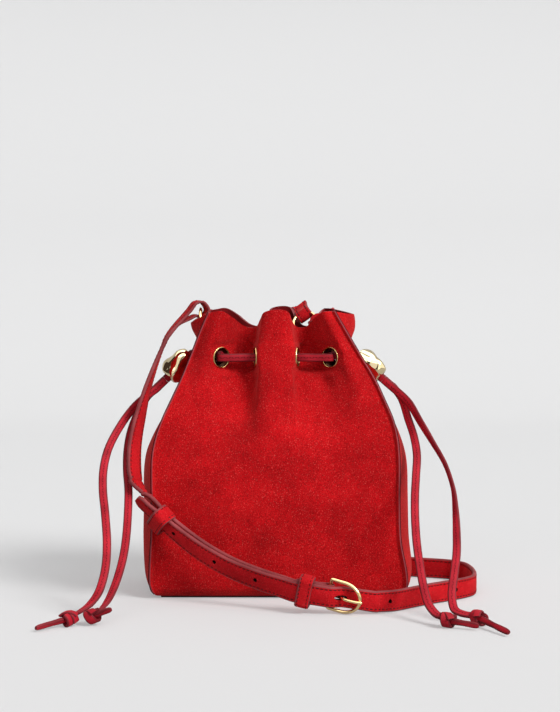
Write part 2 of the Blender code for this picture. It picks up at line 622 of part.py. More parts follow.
# Strap on the ground around the right side, then up behind the bag to the right ring.
GROUND = [(69.5, -107.5, 9.4, 0, -.08, 1), (84.5, -97.5, 8.4, 0, 0, 1), (98, -84, 8.3, 0, 0, 1),
          (113, -69, 8.3, 0, 0, 1), (128, -56.5, 8.3, 0, 0, 1), (140, -45, 8.3, 0, 0, 1),
          (147.5, -34, 8.3, 0, 0, 1), (150.3, -20, 8.3, 0, 0, 1), (150.5, -5, 8.3, 0, 0, 1),
          (149.5, 10, 8.3, 0, 0, 1), (146, 25, 8.3, 0, 0, 1), (137, 36, 8.3, 0, 0, 1),
          (127, 41, 8.3, 0, 0, 1), (117.5, 44.5, 8.3, 0, 0, 1), (105, 50, 8.3, 0, 0, 1),
          (92, 58, 8.3, 0, 0, 1), (77, 67, 8.3, 0, 0, 1), (58, 75, 8.4, 0, 0, 1)]
RISE = [(38, 80, 9.8, .1, 0, 1), (16, 83, 14, .25, 0, 1), (-7, 84, 22, .45, 0, .9),
        (-27, 82, 35.5, .6, 0, .8), (-41, 79, 54, .8, 0, .6), (-47.5, 74, 78, 1, 0, .2),
        (-46, 69, 105, 1, 0, 0), (-38, 63, 134, 1, 0, -.3), (-25, 57, 161, .9, 0, -.4),
        (-8, 52.5, 184, .85, 0, -.45), (7, 49, 200, .9, 0, -.2)]
RING_POINT = RINGS["right"][0] + Vector((-.264, .748, .60)) * RING_RADIUS
LOOP_UP = Vector((-.40, 0, .91))
LOOP_ACROSS = (.91, 0, .40)
# The loop around the right ring: distance behind the wire and distance above it.
RIGHT_LOOP = [(31, 8.2), (22, 7.4), (12, 5.8), (5, 4.8), (-1.5, 4.2), (-5, .4), (-3.2, -3.9), (3, -4.7),
              (7, -3.2), (11, -1.2)]


def strap_rows(rows, level=0.0, width=STRAP_WIDTH, thick=STRAP_THICK):
    """Full-width rows moved along the strap's outward face by a level."""
    path = smooth_rows([row[:6] for row in rows], 4)
    _, _, _, face = ribbon_frames(path)
    path[:, :3] += face * level
    return [(*row, width, thick) for row in path]


def buckle_point(along, up, out):
    return BUCKLE_AT + BUCKLE_ALONG * along + BUCKLE_ACROSS * up + BUCKLE_OUT * out


def buckle_row(along, out, width=STRAP_WIDTH, thick=STRAP_THICK):
    return (*buckle_point(along, 0, out), *BUCKLE_ACROSS, width, thick)


def buckle_strap(material):
    """The strap's short part: loop at the left ring, fall, front, and fold at the buckle."""
    half = (STRAP_THICK + STRAP_GAP) / 2
    middle = BUCKLE_LEVEL - half
    rows = LEFT_LOOP + strap_rows(LEFT_FALL) + strap_rows(overlap_rows(), -half)[1:]
    rows += [buckle_row(-5, middle, thick=2.4),
             buckle_row(-1, 1.1, thick=2.0), buckle_row(1.8, .3, thick=1.8),
             buckle_row(2.6, BAR_LEVEL, thick=1.8), buckle_row(1.8, -3.4, thick=1.8),
             buckle_row(-1, -4.2, thick=1.8), buckle_row(-6, -2.9, thick=1.8),
             buckle_row(-14, -2.4, thick=1.8), buckle_row(-25, -2.4, thick=1.6)]
    strap = ribbon("strap_buckle_part", rows, material, 7)
    slot = cylinder("cut_prong_slot", buckle_point(1.0, 0, -1.5), BUCKLE_OUT, 1.9, 6, stretch=3.4)
    combine(strap, slot, 'DIFFERENCE')
    return strap


def overlap_rows():
    """The middle line of both layers up to the buckle."""
    return OVERLAP + [buckle_row(along, BUCKLE_LEVEL)[:6] for along in (-25, -18, -11)]


def tail_level(along):
    """How far out the punched part lies at the buckle: over the fold, then inside the frame."""
    share = min(max(along / 12, 0), 1)
    return 4.25 - 5.45 * share * share * (3 - 2 * share)


def punched_strap(material):
    """The strap's long part: tip, overlap, buckle, ground, back of the bag, right ring."""
    half = (STRAP_THICK + STRAP_GAP) / 2
    rows = strap_rows(PUNCHED_TIP + overlap_rows()[2:], half)
    rows[0] = (*rows[0][:6], 9, STRAP_THICK)
    rows += [buckle_row(along, tail_level(along)) for along in (-5, 0, 3, 6, 9, 12, 17, 23)]
    rows += strap_rows(GROUND + RISE)
    rows += [(*(RING_POINT + Vector((0, back, 0)) + LOOP_UP * up), *LOOP_ACROSS, 12, 2)
             for back, up in RIGHT_LOOP]
    strap = ribbon("strap_punched_part", rows, material, 7)
    path = smooth_rows(rows, 1, 9)
    place, _, _, face = ribbon_frames(path)
    start = int(np.argmin(np.linalg.norm(place - np.array(buckle_point(9, 0, 1.4)), axis=1)))
    run = 33
    for k in range(-4, 5):
        at = start + k * run
        if k == 0:
            hole = cylinder("cut_hole_0", place[at], face[at], HOLE_RADIUS * 1.05, 4, stretch=2.4)
        elif at > 8:
            hole = cylinder("cut_hole_%d" % k, place[at], face[at], HOLE_RADIUS, 4, segments=10)
        combine(strap, hole, 'DIFFERENCE')
    return strap


def band(name, centre, along, across, out, inner, length, thick, material):
    """A closed keeper band: a rectangular sleeve around the strap."""
    points = []
    for end in (-.5, .5):
        for grow in (0, thick):
            for a, b in ((-1, -1), (1, -1), (1, 1), (-1, 1)):
                points.append(Vector(centre) + Vector(along) * length * end
                              + Vector(across) * a * (inner[0] / 2 + grow)
                              + Vector(out) * b * (inner[1] / 2 + grow))
    faces = []
    for j in range(4):
        k = (j + 1) % 4
        faces += [[j, k, 4 + k, 4 + j], [8 + j, 12 + j, 12 + k, 8 + k],
                  [4 + j, 4 + k, 12 + k, 12 + j], [j, 8 + j, 8 + k, k]]
    return new_object(name, points, faces, material)


def keepers(material):
    along = (BUCKLE_ALONG - BUCKLE_ACROSS * KEEPER_TURN).normalized()
    across = (BUCKLE_ACROSS + BUCKLE_ALONG * KEEPER_TURN).normalized()
    band("keeper_fixed", buckle_point(-17.5, .4, 1.1), along, across, BUCKLE_OUT, (18.6, 10.3), 10.5, 2, material)
    path = smooth_rows([row[:6] for row in OVERLAP], 1, 9)
    place, along, across, face = ribbon_frames(path)
    at = int(np.argmin(np.linalg.norm(place - np.array(OVERLAP[2][:3]), axis=1)))
    centre = place[at] + along[at] * .9 - across[at] * .6 + face[at] * .9
    band("keeper_sliding", centre, along[at], across[at], face[at], (19.0, 10.4), 10.8, 1.3, material)


def buckle_frame(metal):
    """A horseshoe frame: two arms, a round far end, and the bar that the strap folds around."""
    slope = (FRAME_END_LEVEL - BAR_LEVEL) / FRAME_LENGTH
    outline = [(0, -FRAME_HALF), (6, -FRAME_HALF)]
    far = FRAME_LENGTH - 10
    outline += [(10 + far * math.cos(a), FRAME_HALF * math.sin(a))
                for a in np.linspace(-math.pi / 2, math.pi / 2, 13)]
    outline += [(6, FRAME_HALF), (0, FRAME_HALF)]
    outline += [(0, up) for up in (6, 0, -6)]
    sides = 8
    points = []
    for k, (along, up) in enumerate(outline):
        previous = np.array(outline[k - 1])
        following = np.array(outline[(k + 1) % len(outline)])
        direction = unit(following - previous)
        radius = BAR_RADIUS if along == 0 and abs(up) < FRAME_HALF else FRAME_WIRE
        for j in range(sides):
            angle = 2 * math.pi * j / sides
            side = radius * math.cos(angle)
            across = up - direction[0] * side
            reach = along + direction[1] * side
            points.append(buckle_point(reach + FRAME_TURN * across, FRAME_SHIFT + across - FRAME_TURN * reach,
                                       BAR_LEVEL + slope * along + radius * math.sin(angle)))
    return new_object("buckle_frame", points, loop_faces(len(outline), sides), metal, 60)


def buckle_prong(metal):
    """A bent pin that hooks around the bar, passes a hole and rests on the frame's far end."""
    hook = BAR_RADIUS + 1.1 + .25
    rows = [(hook * math.sin(a), BAR_LEVEL - hook * math.cos(a)) for a in np.linspace(-2.3, 1.9, 9)]
    rows += [(5.2, -.3), (8, .8), (10.5, 2.8), (13, 4.6), (18, 6.1), (FRAME_LENGTH + .4, 6.7),
             (FRAME_LENGTH + 2.2, 6.3)]
    sides = 8
    path = smooth_rows([(x, 0, out) for x, out in rows], 4)
    points = []
    for k, (x, _, out) in enumerate(path):
        before = path[max(0, k - 1)]
        after = path[min(len(path) - 1, k + 1)]
        run = unit(np.array((after[0] - before[0], after[2] - before[2])))
        radius = .7 if k == len(path) - 1 else 1.05
        for j in range(sides):
            angle = 2 * math.pi * j / sides
            lift = radius * math.cos(angle)
            points.append(buckle_point(x - run[1] * lift, radius * math.sin(angle), out + run[0] * lift))
    return new_object("buckle_prong", points, tube_faces(len(path), sides), metal, 60)


# ---------------------------------------------------------------- the whole bag
def build():
    clear_scene()
    suede = new_material("suede", (.52, .005, .009), .9)
    strap_suede = new_material("strap_suede", (.56, .008, .014), .85)
    lace_leather = new_material("lace_leather", (.43, .010, .022), .7)
    board = new_material("board", (.10, .07, .05), .9)
    metal = new_material("gold_metal", (.83, .62, .30), .15, 1)

    inner_foot = walls(suede)
    base(inner_foot, suede, board)
    eyelets(metal)
    held_lace("drawstring_front", "front", LACE_STACK, lace_leather)
    held_lace("drawstring_back", "back", -LACE_STACK, lace_leather)
    for name in TAILS:
        tail(name, lace_leather)
        knot(name, lace_leather)
    for side in ("left", "right"):
        bead(side, metal)
        ring(side, metal)
        ring_tab(side, strap_suede)
    buckle_strap(strap_suede)
    punched_strap(strap_suede)
    keepers(strap_suede)
    buckle_frame(metal)
    buckle_prong(metal)


build()
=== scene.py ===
"""The bag's looks: suede with seams and pleats, laces, strap, gold fittings, light and camera.

Every piece lies over the frame's solid of the same name. The routes and the few driving
dimensions are the frame's own, apart from small moves of the strap, its holes, the knots and the
walls' foot. Figures are in millimetres and new_piece() turns them into Blender's metres. The
frame is +X right, +Y back, +Z up.
"""

import math

import bpy
import numpy as np
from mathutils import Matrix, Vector, noise


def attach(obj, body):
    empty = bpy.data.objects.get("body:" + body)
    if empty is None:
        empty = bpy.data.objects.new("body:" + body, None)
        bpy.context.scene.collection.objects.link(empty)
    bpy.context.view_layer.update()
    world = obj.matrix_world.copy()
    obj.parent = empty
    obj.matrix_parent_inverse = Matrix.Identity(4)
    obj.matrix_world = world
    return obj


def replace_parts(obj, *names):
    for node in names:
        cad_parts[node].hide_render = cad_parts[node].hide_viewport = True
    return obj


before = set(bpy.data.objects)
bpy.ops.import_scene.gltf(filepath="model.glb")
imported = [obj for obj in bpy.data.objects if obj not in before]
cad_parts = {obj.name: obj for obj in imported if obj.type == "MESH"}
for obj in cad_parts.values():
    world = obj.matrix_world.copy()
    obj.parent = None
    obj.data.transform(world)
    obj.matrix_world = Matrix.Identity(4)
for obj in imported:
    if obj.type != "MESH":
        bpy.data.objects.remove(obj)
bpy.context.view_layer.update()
MM = 0.001
FOOT_ROUND = 2.6         # the leather turns in at the foot
FOOT_LIFT = 1.5          # and stands this far above the floor, on the base's edge
FOOT_FADE = 8            # up to this height
FOOT_HALVES = (95, 48)   # half the foot's width and depth

# ---------------- driving dimensions
LEATHER = 2.0            # wall thickness
GAP = 0.3                # clearance between pieces that touch
CINCH = 181.0            # height of the eyelets, where the laces draw the bag in
BASE_THICK = 2.2

# Half width of the bag at its seams, left and right, by height.
SEAM_LEFT = [(0, 93), (6, 95.5), (20, 96), (60, 94), (105, 94), (122, 91), (136, 86), (150, 79.5),
             (165, 72.5), (181, 66), (198, 59.5), (218, 51)]
SEAM_RIGHT = [(0, 93), (6, 95.5), (20, 95), (45, 90.5), (75, 89.5), (105, 89.5), (122, 88), (136, 84.5),
              (150, 78.5), (165, 71.5), (181, 62), (198, 52), (218, 40.5)]
# Half depth at the seams, and how far the front and the side walls swell past them.
SEAM_DEPTH = [(0, 44), (8, 47.5), (60, 48), (110, 47), (140, 41), (165, 32), (181, 26), (198, 26),
              (218, 28)]
FRONT_BULGE = [(0, 0), (10, 2), (60, 6), (110, 6), (150, 5), (181, 10), (218, 8)]
SIDE_BULGE = [(0, 2), (8, 6), (20, 8), (60, 10), (100, 9), (130, 3), (160, -3), (181, -1), (190, 1),
              (196, 4.5), (203, 9.5), (213, 14.5), (218, 15)]
# Depth of the two pleats in the front and back, and of the pleat in each side.
PLEAT_DEPTH = [(0, 0), (80, 0), (120, 3), (150, 10), (170, 19), (181, 24), (200, 22), (218, 17)]
SIDE_PLEAT = [(0, 0), (140, 0), (152, 3), (165, 9), (176, 12.5), (186, 12), (192, 4), (200, 0), (218, 0)]
# Across a pleated panel: place in the leather (-1 left seam, 1 right seam), place in the
# gathered width, share of the pleat's depth, and height of the rim.
PLEATS = [(-1, -1, .08, 215.4), (-.80, -.84, 0, 216.5), (-.58, -.66, .42, 211.5), (-.40, -.46, 1, 204.4),
          (-.30, -.31, .95, 203.7), (-.22, -.27, .6, 210), (-.14, -.235, .15, 216), (0, 0, 0, 218),
          (.12, .20, .15, 216), (.20, .23, .6, 209), (.30, .29, .95, 204), (.40, .43, 1, 204),
          (.58, .63, .5, 211.5), (.80, .82, 0, 216), (1, 1, .08, 216.5)]
BACK_SHIFT = .12         # the back's pleats sit a little further right than the front's
EYELET_AT = (-.58, -.22, .20, .58)     # eyelets in the front, places in the leather
SIDE_RIM = {"left": 206.5, "right": 213.0}    # rim height at the middle of each side
ROWS = (0, 5, 12, 40, 80, 115, 140, 155, 165, 172, 181, 190, 196, 206, 217)
COLUMNS = (-1, -.9, -.8, -.73, -.655, -.58, -.505, -.43, -.37, -.31, -.265, -.22, -.175, -.12, -.06, 0,
           .06, .12, .16, .20, .24, .29, .35, .43, .505, .58, .655, .73, .8, .9, 1)
SIDE_COLUMNS = (-1, -.7, -.36, -.18, 0, .18, .36, .7, 1)
RIM_START = 190          # rows above this height are spread up to the local rim
BROAD_GRID = 121         # columns of the finished mesh across the front or back
SIDE_GRID = 57           # and across a side

EYELET_BORE = 5.6
EYELET_RIM = 8.2
PANEL_HOLE = 6.5
OPEN_RADIUS = 6.6        # grid cells with their middle inside this are left out at an eyelet
HOLE_EDGE = 7.25         # the suede's cut edge, hidden under an eyelet's rim
FLAT_ROUND_EYELET = 12.5   # the leather is flat this far to each side of an eyelet
FADE_ROUND_EYELET = 17.5

LACE_WIDTH = 6.2
LACE_THICK = 2.2
TIP_WIDTH = 4.6          # the bare tip beyond a knot is creased narrower and thicker
TIP_THICK = 3.0
LACE_STACK = 1.7         # each lace's offset from the axis of a bore that holds both
BEAD_BORE = 5.0
BEAD_HALF = 12.3         # half the bead's length along its bore
BEAD_RADIUS = 10.3
BEADS = {"left": (Vector((-76.4, 0, 173.0)), Vector((-.72, -.14, -.68)).normalized()),
         "right": (Vector((69.4, 0, 172.6)), Vector((.75, -.14, -.64)).normalized())}

STRAP_WIDTH = 15.9
STRAP_THICK = 3.0
STITCH_INSET = 2.3       # from the strap's edges to its rows of stitches
STRAP_GAP = 0.8          # between the strap's two parts where they overlap
HOLE_RADIUS = 1.9
# Holes along the strap, measured from the prong's hole.
PUNCHED_AT = (-140, -102, -66.5, -29, 0, 38.5, 74, 109.5)
KEEPER_TURN = .09        # the fixed keeper sits slightly askew
RING_RADIUS = 8.9        # to the middle of the wire
RING_WIRE = 1.1


def table(rows, at):
    """A smooth reading of a table of (place, value) pairs."""
    places = [row[0] for row in rows]
    at = min(max(at, places[0]), places[-1])
    k = max(1, min(len(rows) - 1, int(np.searchsorted(places, at))))
    (x0, y0), (x1, y1) = rows[k - 1], rows[k]
    left = rows[k - 2] if k > 1 else rows[k - 1]
    right = rows[k + 1] if k + 1 < len(rows) else rows[k]
    slope0 = (y1 - left[1]) / (x1 - left[0])
    slope1 = (right[1] - y0) / (right[0] - x0)
    t = (at - x0) / (x1 - x0)
    step = x1 - x0
    return ((1 + 2 * t) * (1 - t) ** 2 * y0 + t * (1 - t) ** 2 * step * slope0
            + t * t * (3 - 2 * t) * y1 + t * t * (t - 1) * step * slope1)


def pleat(column, at):
    return table([(row[0], row[column]) for row in PLEATS], at)


def unit(vectors):
    return vectors / np.linalg.norm(vectors, axis=-1, keepdims=True)


def smooth_rows(rows, spacing, bend=.45):
    """A Catmull-Rom curve through rows that start with a place; denser where the curve bends."""
    rows = np.array(rows, float)
    padded = np.vstack([2 * rows[0] - rows[1], rows, 2 * rows[-1] - rows[-2]])
    fine = []
    for a, b, c, d in zip(padded, padded[1:], padded[2:], padded[3:]):
        for t in np.linspace(0, 1, 16, endpoint=False):
            fine.append(.5 * (2 * b + (c - a) * t + (2 * a - 5 * b + 4 * c - d) * t ** 2
                              + (3 * b - a - 3 * c + d) * t ** 3))
    fine = np.array(fine + [rows[-1]])
    step = np.diff(fine[:, :3], axis=0)
    turn = np.arccos(np.clip(np.sum(unit(step[1:]) * unit(step[:-1]), axis=1), -1, 1))
    cost = np.linalg.norm(step, axis=1) / spacing + np.append(turn, 0) / bend
    run = np.append(0, np.cumsum(cost))
    at = np.linspace(0, run[-1], max(3, int(round(run[-1])) + 1))
    return np.column_stack([np.interp(at, run, column) for column in fine.T])


def ribbon_frames(path):
    """Places, directions, width directions and face directions along rows of a ribbon."""
    place = path[:, :3]
    step = unit(np.diff(place, axis=0))
    along = unit(np.vstack([step[:1], step]) + np.vstack([step, step[-1:]]))
    across = path[:, 3:6]
    across = unit(across - along * np.sum(across * along, axis=1, keepdims=True))
    return place, along, across, np.cross(along, across)


def axes_of(direction):
    """Two unit directions square to the given one; the second points as much upward as it can."""
    direction = Vector(direction).normalized()
    up = Vector((0, 0, 1)) - direction * direction.z
    if up.length < .1:
        up = Vector((0, 1, 0))
    up.normalize()
    return up.cross(direction), up


# ---------------- the bag's walls
def seam_x(side, z):
    return -table(SEAM_LEFT, z) if side == "left" else table(SEAM_RIGHT, z)


def seam_y(z):
    return table(SEAM_DEPTH, z) - pleat(2, 1) * table(PLEAT_DEPTH, z)


def front_point(u, z, back=False):
    """A point of the front wall, or of the back wall, before it is flattened at the eyelets."""
    depth = table(PLEAT_DEPTH, z)
    gather = depth / 24
    share = u + (pleat(1, u) - u) * gather
    if back:
        share += BACK_SHIFT * (1 - u * u) * gather
    half = -seam_x("left", z) if share < 0 else seam_x("right", z)
    bulge = table(FRONT_BULGE, z) * (1 - u * u)
    y = -(table(SEAM_DEPTH, z) + bulge) + pleat(2, u) * depth
    if abs(u) == 1:
        y = -seam_y(z)
    return (share * half, -y if back else y)


def side_point(side, w, z):
    """A point of a side wall; w runs from -1 at the front seam to 1 at the back seam."""
    fold = table(SIDE_PLEAT, z) * .5 * (1 + math.cos(math.pi * min(1, abs(w) / .8)))
    out = table(SIDE_BULGE, z) * (1 - w * w) - fold
    x = seam_x(side, z)
    return (x - out if side == "left" else x + out, w * seam_y(z))


def wall_height(row, rim):
    """Rows near the rim are spread up to the local rim height."""
    if row <= RIM_START:
        return row
    return RIM_START + (row - RIM_START) * (rim - RIM_START) / (ROWS[-1] - RIM_START)


def wall_columns():
    """Each wall's columns, in one loop around the bag: front, right, back, left."""
    columns = [("front", u) for u in COLUMNS]
    columns += [("right", w) for w in SIDE_COLUMNS[1:]]
    columns += [("back", u) for u in reversed(COLUMNS[:-1])]
    columns += [("left", w) for w in reversed(SIDE_COLUMNS[1:-1])]
    return columns


def rim_height(wall, at):
    if wall in ("front", "back"):
        return pleat(3, at)
    corner = pleat(3, -1 if wall == "left" else 1)
    return corner + (SIDE_RIM[wall] - corner) * (1 - at * at)


def wall_point(wall, at, row):
    z = wall_height(row, rim_height(wall, at))
    if wall in ("front", "back"):
        x, y = front_point(at, z, wall == "back")
    else:
        x, y = side_point(wall, at, z)
    return np.array((x, y, z))


def eyelet_places():
    """Name, wall and place of every eyelet."""
    places = [("eyelet_front_%d" % (i + 1), "front", u) for i, u in enumerate(EYELET_AT)]
    places += [("eyelet_back_%d" % (i + 1), "back", u) for i, u in enumerate(EYELET_AT)]
    return places + [("eyelet_side_left", "left", 0.0), ("eyelet_side_right", "right", 0.0)]


def eyelet_frame(wall, at):
    """An eyelet's centre on the outer surface and its outward direction, both level."""
    centre = wall_point(wall, at, CINCH)
    step = .03
    along = wall_point(wall, at + step, CINCH) - wall_point(wall, at - step, CINCH)
    normal = np.array((along[1], -along[0], 0))
    if wall in ("back", "left"):
        normal = -normal
    return centre, unit(normal)


def flatten(point, wall, at):
    """Press a wall point into the level plane of the eyelet that it is near."""
    for _, eyelet_wall, eyelet_at in eyelet_places():
        broad = wall in ("front", "back")
        if wall != eyelet_wall or (broad and abs(at - eyelet_at) > .2):
            continue
        centre, normal = eyelet_frame(wall, eyelet_at)
        height = float(np.dot(point - centre, normal))
        flat = point - centre - height * normal
        sideways = float(np.linalg.norm(flat[:2])) * (1 if broad else 1.25)
        far = max(sideways, 1.38 * abs(float(flat[2])))
        share = (far - FLAT_ROUND_EYELET) / (FADE_ROUND_EYELET - FLAT_ROUND_EYELET)
        share = min(max(share, 0), 1)
        point = point - normal * height * (1 - share * share * (3 - 2 * share))
    return point


# ---------------- laces
def bead_rows(side, lift, inside, outside):
    """Lace rows along a bead's bore, from one distance along it to another."""
    centre, axis = BEADS[side]
    forward, up = axes_of(axis)
    if forward.y > 0:
        forward = -forward
    rows = []
    for at in np.linspace(inside, outside, 4):
        place = centre + axis * at + forward * lift
        rows.append((*place, *up, LACE_WIDTH, LACE_THICK))
    return rows


def through(name, inward, turn, lift=0.0):
    """Lace rows on each side of an eyelet, in the order inside then outside."""
    wall, at = {key: (wall, at) for key, wall, at in eyelet_places()}[name]
    centre, normal = eyelet_frame(wall, at)
    direction = unit(normal + np.array((turn, 0, 0)))
    middle = centre - normal * 1.4 - np.array((0, lift, 0))
    return [(*(middle + direction * step), 0, 0, 1, LACE_WIDTH, LACE_THICK) for step in (-inward, 4.2)]


def held_lace_rows(wall, lift):
    """The stretch of a lace between the two beads, in and out of its wall's eyelets."""
    forward = -1 if wall == "front" else 1
    rows = bead_rows("left", lift, 15, -14)
    rows += reversed(through("eyelet_side_left", 3, 0, lift))
    rows.append((-45.5, 7 * forward, CINCH, 0, 0, 1, LACE_WIDTH, LACE_THICK))
    rows += through("eyelet_%s_1" % wall, 4, -.45)
    rows += reversed(through("eyelet_%s_2" % wall, 5, 0))
    rows += through("eyelet_%s_3" % wall, 5, 0)
    rows += reversed(through("eyelet_%s_4" % wall, 4, .45))
    corner = [(39.5, -9)] if wall == "front" else [(44.4, 12.6), (41.6, 6.8)]
    rows += [(x, y, CINCH, 0, 0, 1, LACE_WIDTH, LACE_THICK) for x, y in corner]
    rows += through("eyelet_side_right", 3, 0, lift)
    rows += bead_rows("right", lift, -14, 15)
    return rows


# Each tail's route from its bead to its knot: x, y, z and the direction of its width.
TAILS = {
    "tail_left_front": ("left", LACE_STACK, [
        (-102.4, -8, 149.8, -.7, -.2, .7),
        (-111.5, -17, 141.5, -.75, -.3, .6), (-120, -35, 129.6, -.8, -.4, .4),
        (-127, -52, 115.5, -.9, -.4, .2), (-129.8, -66, 101.5, -1, -.2, 0), (-129.3, -79, 87, -1, 0, 0),
        (-126.5, -92, 70, -1, 0, 0), (-124.2, -106, 52, -1, 0, 0), (-124.4, -118, 35.5, -1, 0, 0),
        (-128, -127, 21, -1, .1, 0), (-134, -133.5, 12.5, -.8, .5, 0), (-140.5, -140, 8.5, -.7, .6, -.2)]),
    "tail_left_back": ("left", -LACE_STACK, [
        (-101.6, -3.5, 149.2, -.7, -.1, .7),
        (-107.3, -9, 139.5, -.75, -.1, .6), (-112.8, -17, 125, -.9, -.2, .3), (-115, -26, 111, -1, -.1, 0),
        (-114.8, -36, 97, -1, 0, 0), (-112.8, -49, 83.5, -1, 0, 0), (-112, -64, 70, -1, 0, 0),
        (-112, -83, 52.8, -1, 0, 0), (-113.5, -99, 38.5, -1, 0, 0), (-117, -114, 25, -1, 0, -.2),
        (-121, -129, 15.5, -.9, -.1, -.4), (-124.8, -140, 11, -.8, -.1, -.5)]),
    "tail_right_front": ("right", LACE_STACK, [
        (99.5, -13, 146, .6, -.3, .7), (107.5, -27, 132.5, .5, -.6, .6),
        (115.5, -43, 119, .3, -.9, .4), (124, -58, 103.8, .2, -.95, .2),
        (128.8, -71, 88, .2, -.95, .1), (129.8, -82, 74.5, .4, -.9, 0), (129.7, -95, 58.5, .8, -.6, 0),
        (128.8, -106, 44, 1, -.2, 0), (126, -118, 31, 1, 0, 0), (123.6, -128, 19, 1, 0, 0),
        (124.5, -137, 10, 1, 0, .2), (129.5, -142.5, 7.5, .8, .4, .3)]),
    "tail_right_back": ("right", -LACE_STACK, [
        (95, -5, 147.5, .7, -.1, .7), (99, -15, 134, .8, -.2, .5),
        (102.6, -30, 121.5, .9, -.3, .3), (104, -44, 109, 1, -.1, 0),
        (102.5, -58, 96, 1, 0, 0), (100.8, -72, 81.6, 1, 0, 0), (100, -86, 67.5, 1, 0, 0),
        (100.2, -101, 52, 1, 0, 0), (101.4, -115, 38, 1, 0, 0), (103.3, -128, 24.5, 1, 0, .1),
        (106, -139, 14, 1, 0, .2), (110.5, -148, 8.5, .8, .3, .3)]),
}
# Each knot's centre, the end of the bare tip beyond it, and the tip's width direction.
KNOTS = {
    "tail_left_front": ((-147.5, -151.5, 6.4), (-168, -172.5, 3.1), (.4, -.4, .8)),
    "tail_left_back": ((-131.5, -148.5, 7.2), (-117.5, -152.5, 12.5), (0, -.6, .8)),
    "tail_right_front": ((140.5, -149.5, 6.6), (157.5, -188, 3.1), (.5, .2, .8)),
    "tail_right_back": ((117.8, -157, 6.4), (139, -166.5, 3.4), (0, -.3, .9)),
}
KNOT_HALF = 6.8          # half the wound knot's length
KNOT_DROP = .8           # the wound knot is a little flatter than the frame's and lies lower


# ---------------- rings and their tabs
RINGS = {"left": (Vector((-60, -4, 208.5)), Vector((1, 0, 0))),
         "right": (Vector((20.0, 3, 207.7)), Vector((-.30, -.66, .69)))}
# Each tab's width direction and its route through its ring.
RING_TABS = {
    "left": ((0, 1, 0), [(-54.6, -4, 194.8), (-57.1, -4, 197.6), (-57.7, -4, 200.4), (-60, -4, 202.5),
                         (-62.3, -4, 200.4), (-60.9, -4, 197.6), (-58, -4, 195)]),
    "right": ((.31, .61, .72), [(49.7, 0, 203.4), (41.2, -1, 207.8), (33.2, -2, 210.5),
                                (28.8, -1.2, 211.1), (24.6, .6, 208.0), (27.6, .3, 204.3),
                                (33.2, -.6, 205.0), (41.2, -.4, 203.2), (49.2, 0, 199.8)]),
}
TAB_WIDTH = 6.5
TAB_THICK = 1.3


# ---------------- the strap
# Middle line of the strap where its two parts overlap, with its upper edge's direction.
OVERLAP = [(-103.5, -53.0, 80.5, -.15, -.98, .1), (-96.0, -58.0, 76.0, .1, -.95, .2),
           (-87.6, -62.0, 64.5, .33, -.80, .50), (-77.0, -64.5, 55.1, .33, -.70, .63),
           (-62.0, -68.8, 43.8, .32, -.58, .75), (-47.8, -74.3, 35.5, .29, -.50, .82),
           (-32.2, -81.0, 28.5, .26, -.45, .86), (-13.7, -89.3, 22.6, .22, -.38, .90),
           (1, -96.5, 19.0, .18, -.30, .93)]
BUCKLE_LEVEL = 2.35      # the layers' middle line passes this far in front of the buckle's own line
PUNCHED_TIP = [(-104.2, -59.5, 79.5, .3, -.86, .4), (-96.4, -60.5, 71.8, .33, -.85, .4)]
BUCKLE_AT = Vector((36.3, -106, 13.9))
BUCKLE_ALONG = Vector((.98, -.17, -.125)).normalized()
BUCKLE_UP = Vector((.125, -.17, 1))
BUCKLE_OUT = BUCKLE_ALONG.cross(BUCKLE_UP).normalized()
BUCKLE_ACROSS = BUCKLE_OUT.cross(BUCKLE_ALONG).normalized()
BAR_LEVEL = -1.5         # the bar lies this far behind the strap's own line
BAR_RADIUS = 1.2
FRAME_WIRE = 1.3
FRAME_LENGTH = 23.5      # from the bar to the middle of the far end's wire
FRAME_HALF = 11.0        # half the height, to the middle of the wire
FRAME_SHIFT = .9         # the frame's middle lies this far above the strap's at the bar
FRAME_TURN = .05         # and its arms dip this much along their length
FRAME_END_LEVEL = 3.8
CLEAR_OF_BAR = 7         # no stitches nearer to the bar than this
SHORTEST_STITCHING = 8   # nor a run of them shorter than this
# Strap between the ring at the left of the mouth and the overlap, from the turned end.
LEFT_LOOP = [(-80.8, -8.4, 201.6, .08, -1, 0, 9, .6), (-75.4, -7, 206.3, .2, -.97, 0, 11, 1.2),
             (-69.6, -6, 209.6, .35, -.93, 0, 12, 1.6),
             (-64.4, -5, 212.0, .35, -.93, 0, 12, 1.8), (-59, -4.5, 211.5, .35, -.93, 0, 11.4, 2),
             (-55.2, -4, 216.4, .35, -.93, 0, 12, 2), (-58.6, -4, 222.0, .35, -.93, 0, 12, 2),
             (-64.2, -4.5, 221.8, .35, -.93, 0, 12, 2), (-68.8, -5, 216.2, .35, -.93, 0, 12.5, 2),
             (-74.6, -6.5, 209.6, .3, -.94, 0, 13, 2.2), (-78.0, -7.9, 205.9, .25, -.96, 0, 13.6, 2.4),
             (-81.0, -9.3, 202.3, .2, -.98, 0, 14.4, 2.6), (-83.7, -10.7, 198.7, .15, -.99, 0, 15.2, 2.8)]
LEFT_FALL = [(-86.0, -12, 195, .1, -1, 0), (-91.0, -16, 183, 0, -1, 0), (-95.4, -20, 171, -.1, -1, 0),
             (-99.5, -25, 158.5, -.2, -1, 0), (-102.6, -29, 147, -.3, -.95, 0),
             (-105.3, -33, 135, -.4, -.9, 0), (-107.5, -37, 124, -.46, -.88, 0),
             (-108.8, -41, 112, -.5, -.86, 0), (-108.6, -46, 98, -.5, -.86, -.05),
             (-106.8, -50, 88.5, -.38, -.92, 0)]
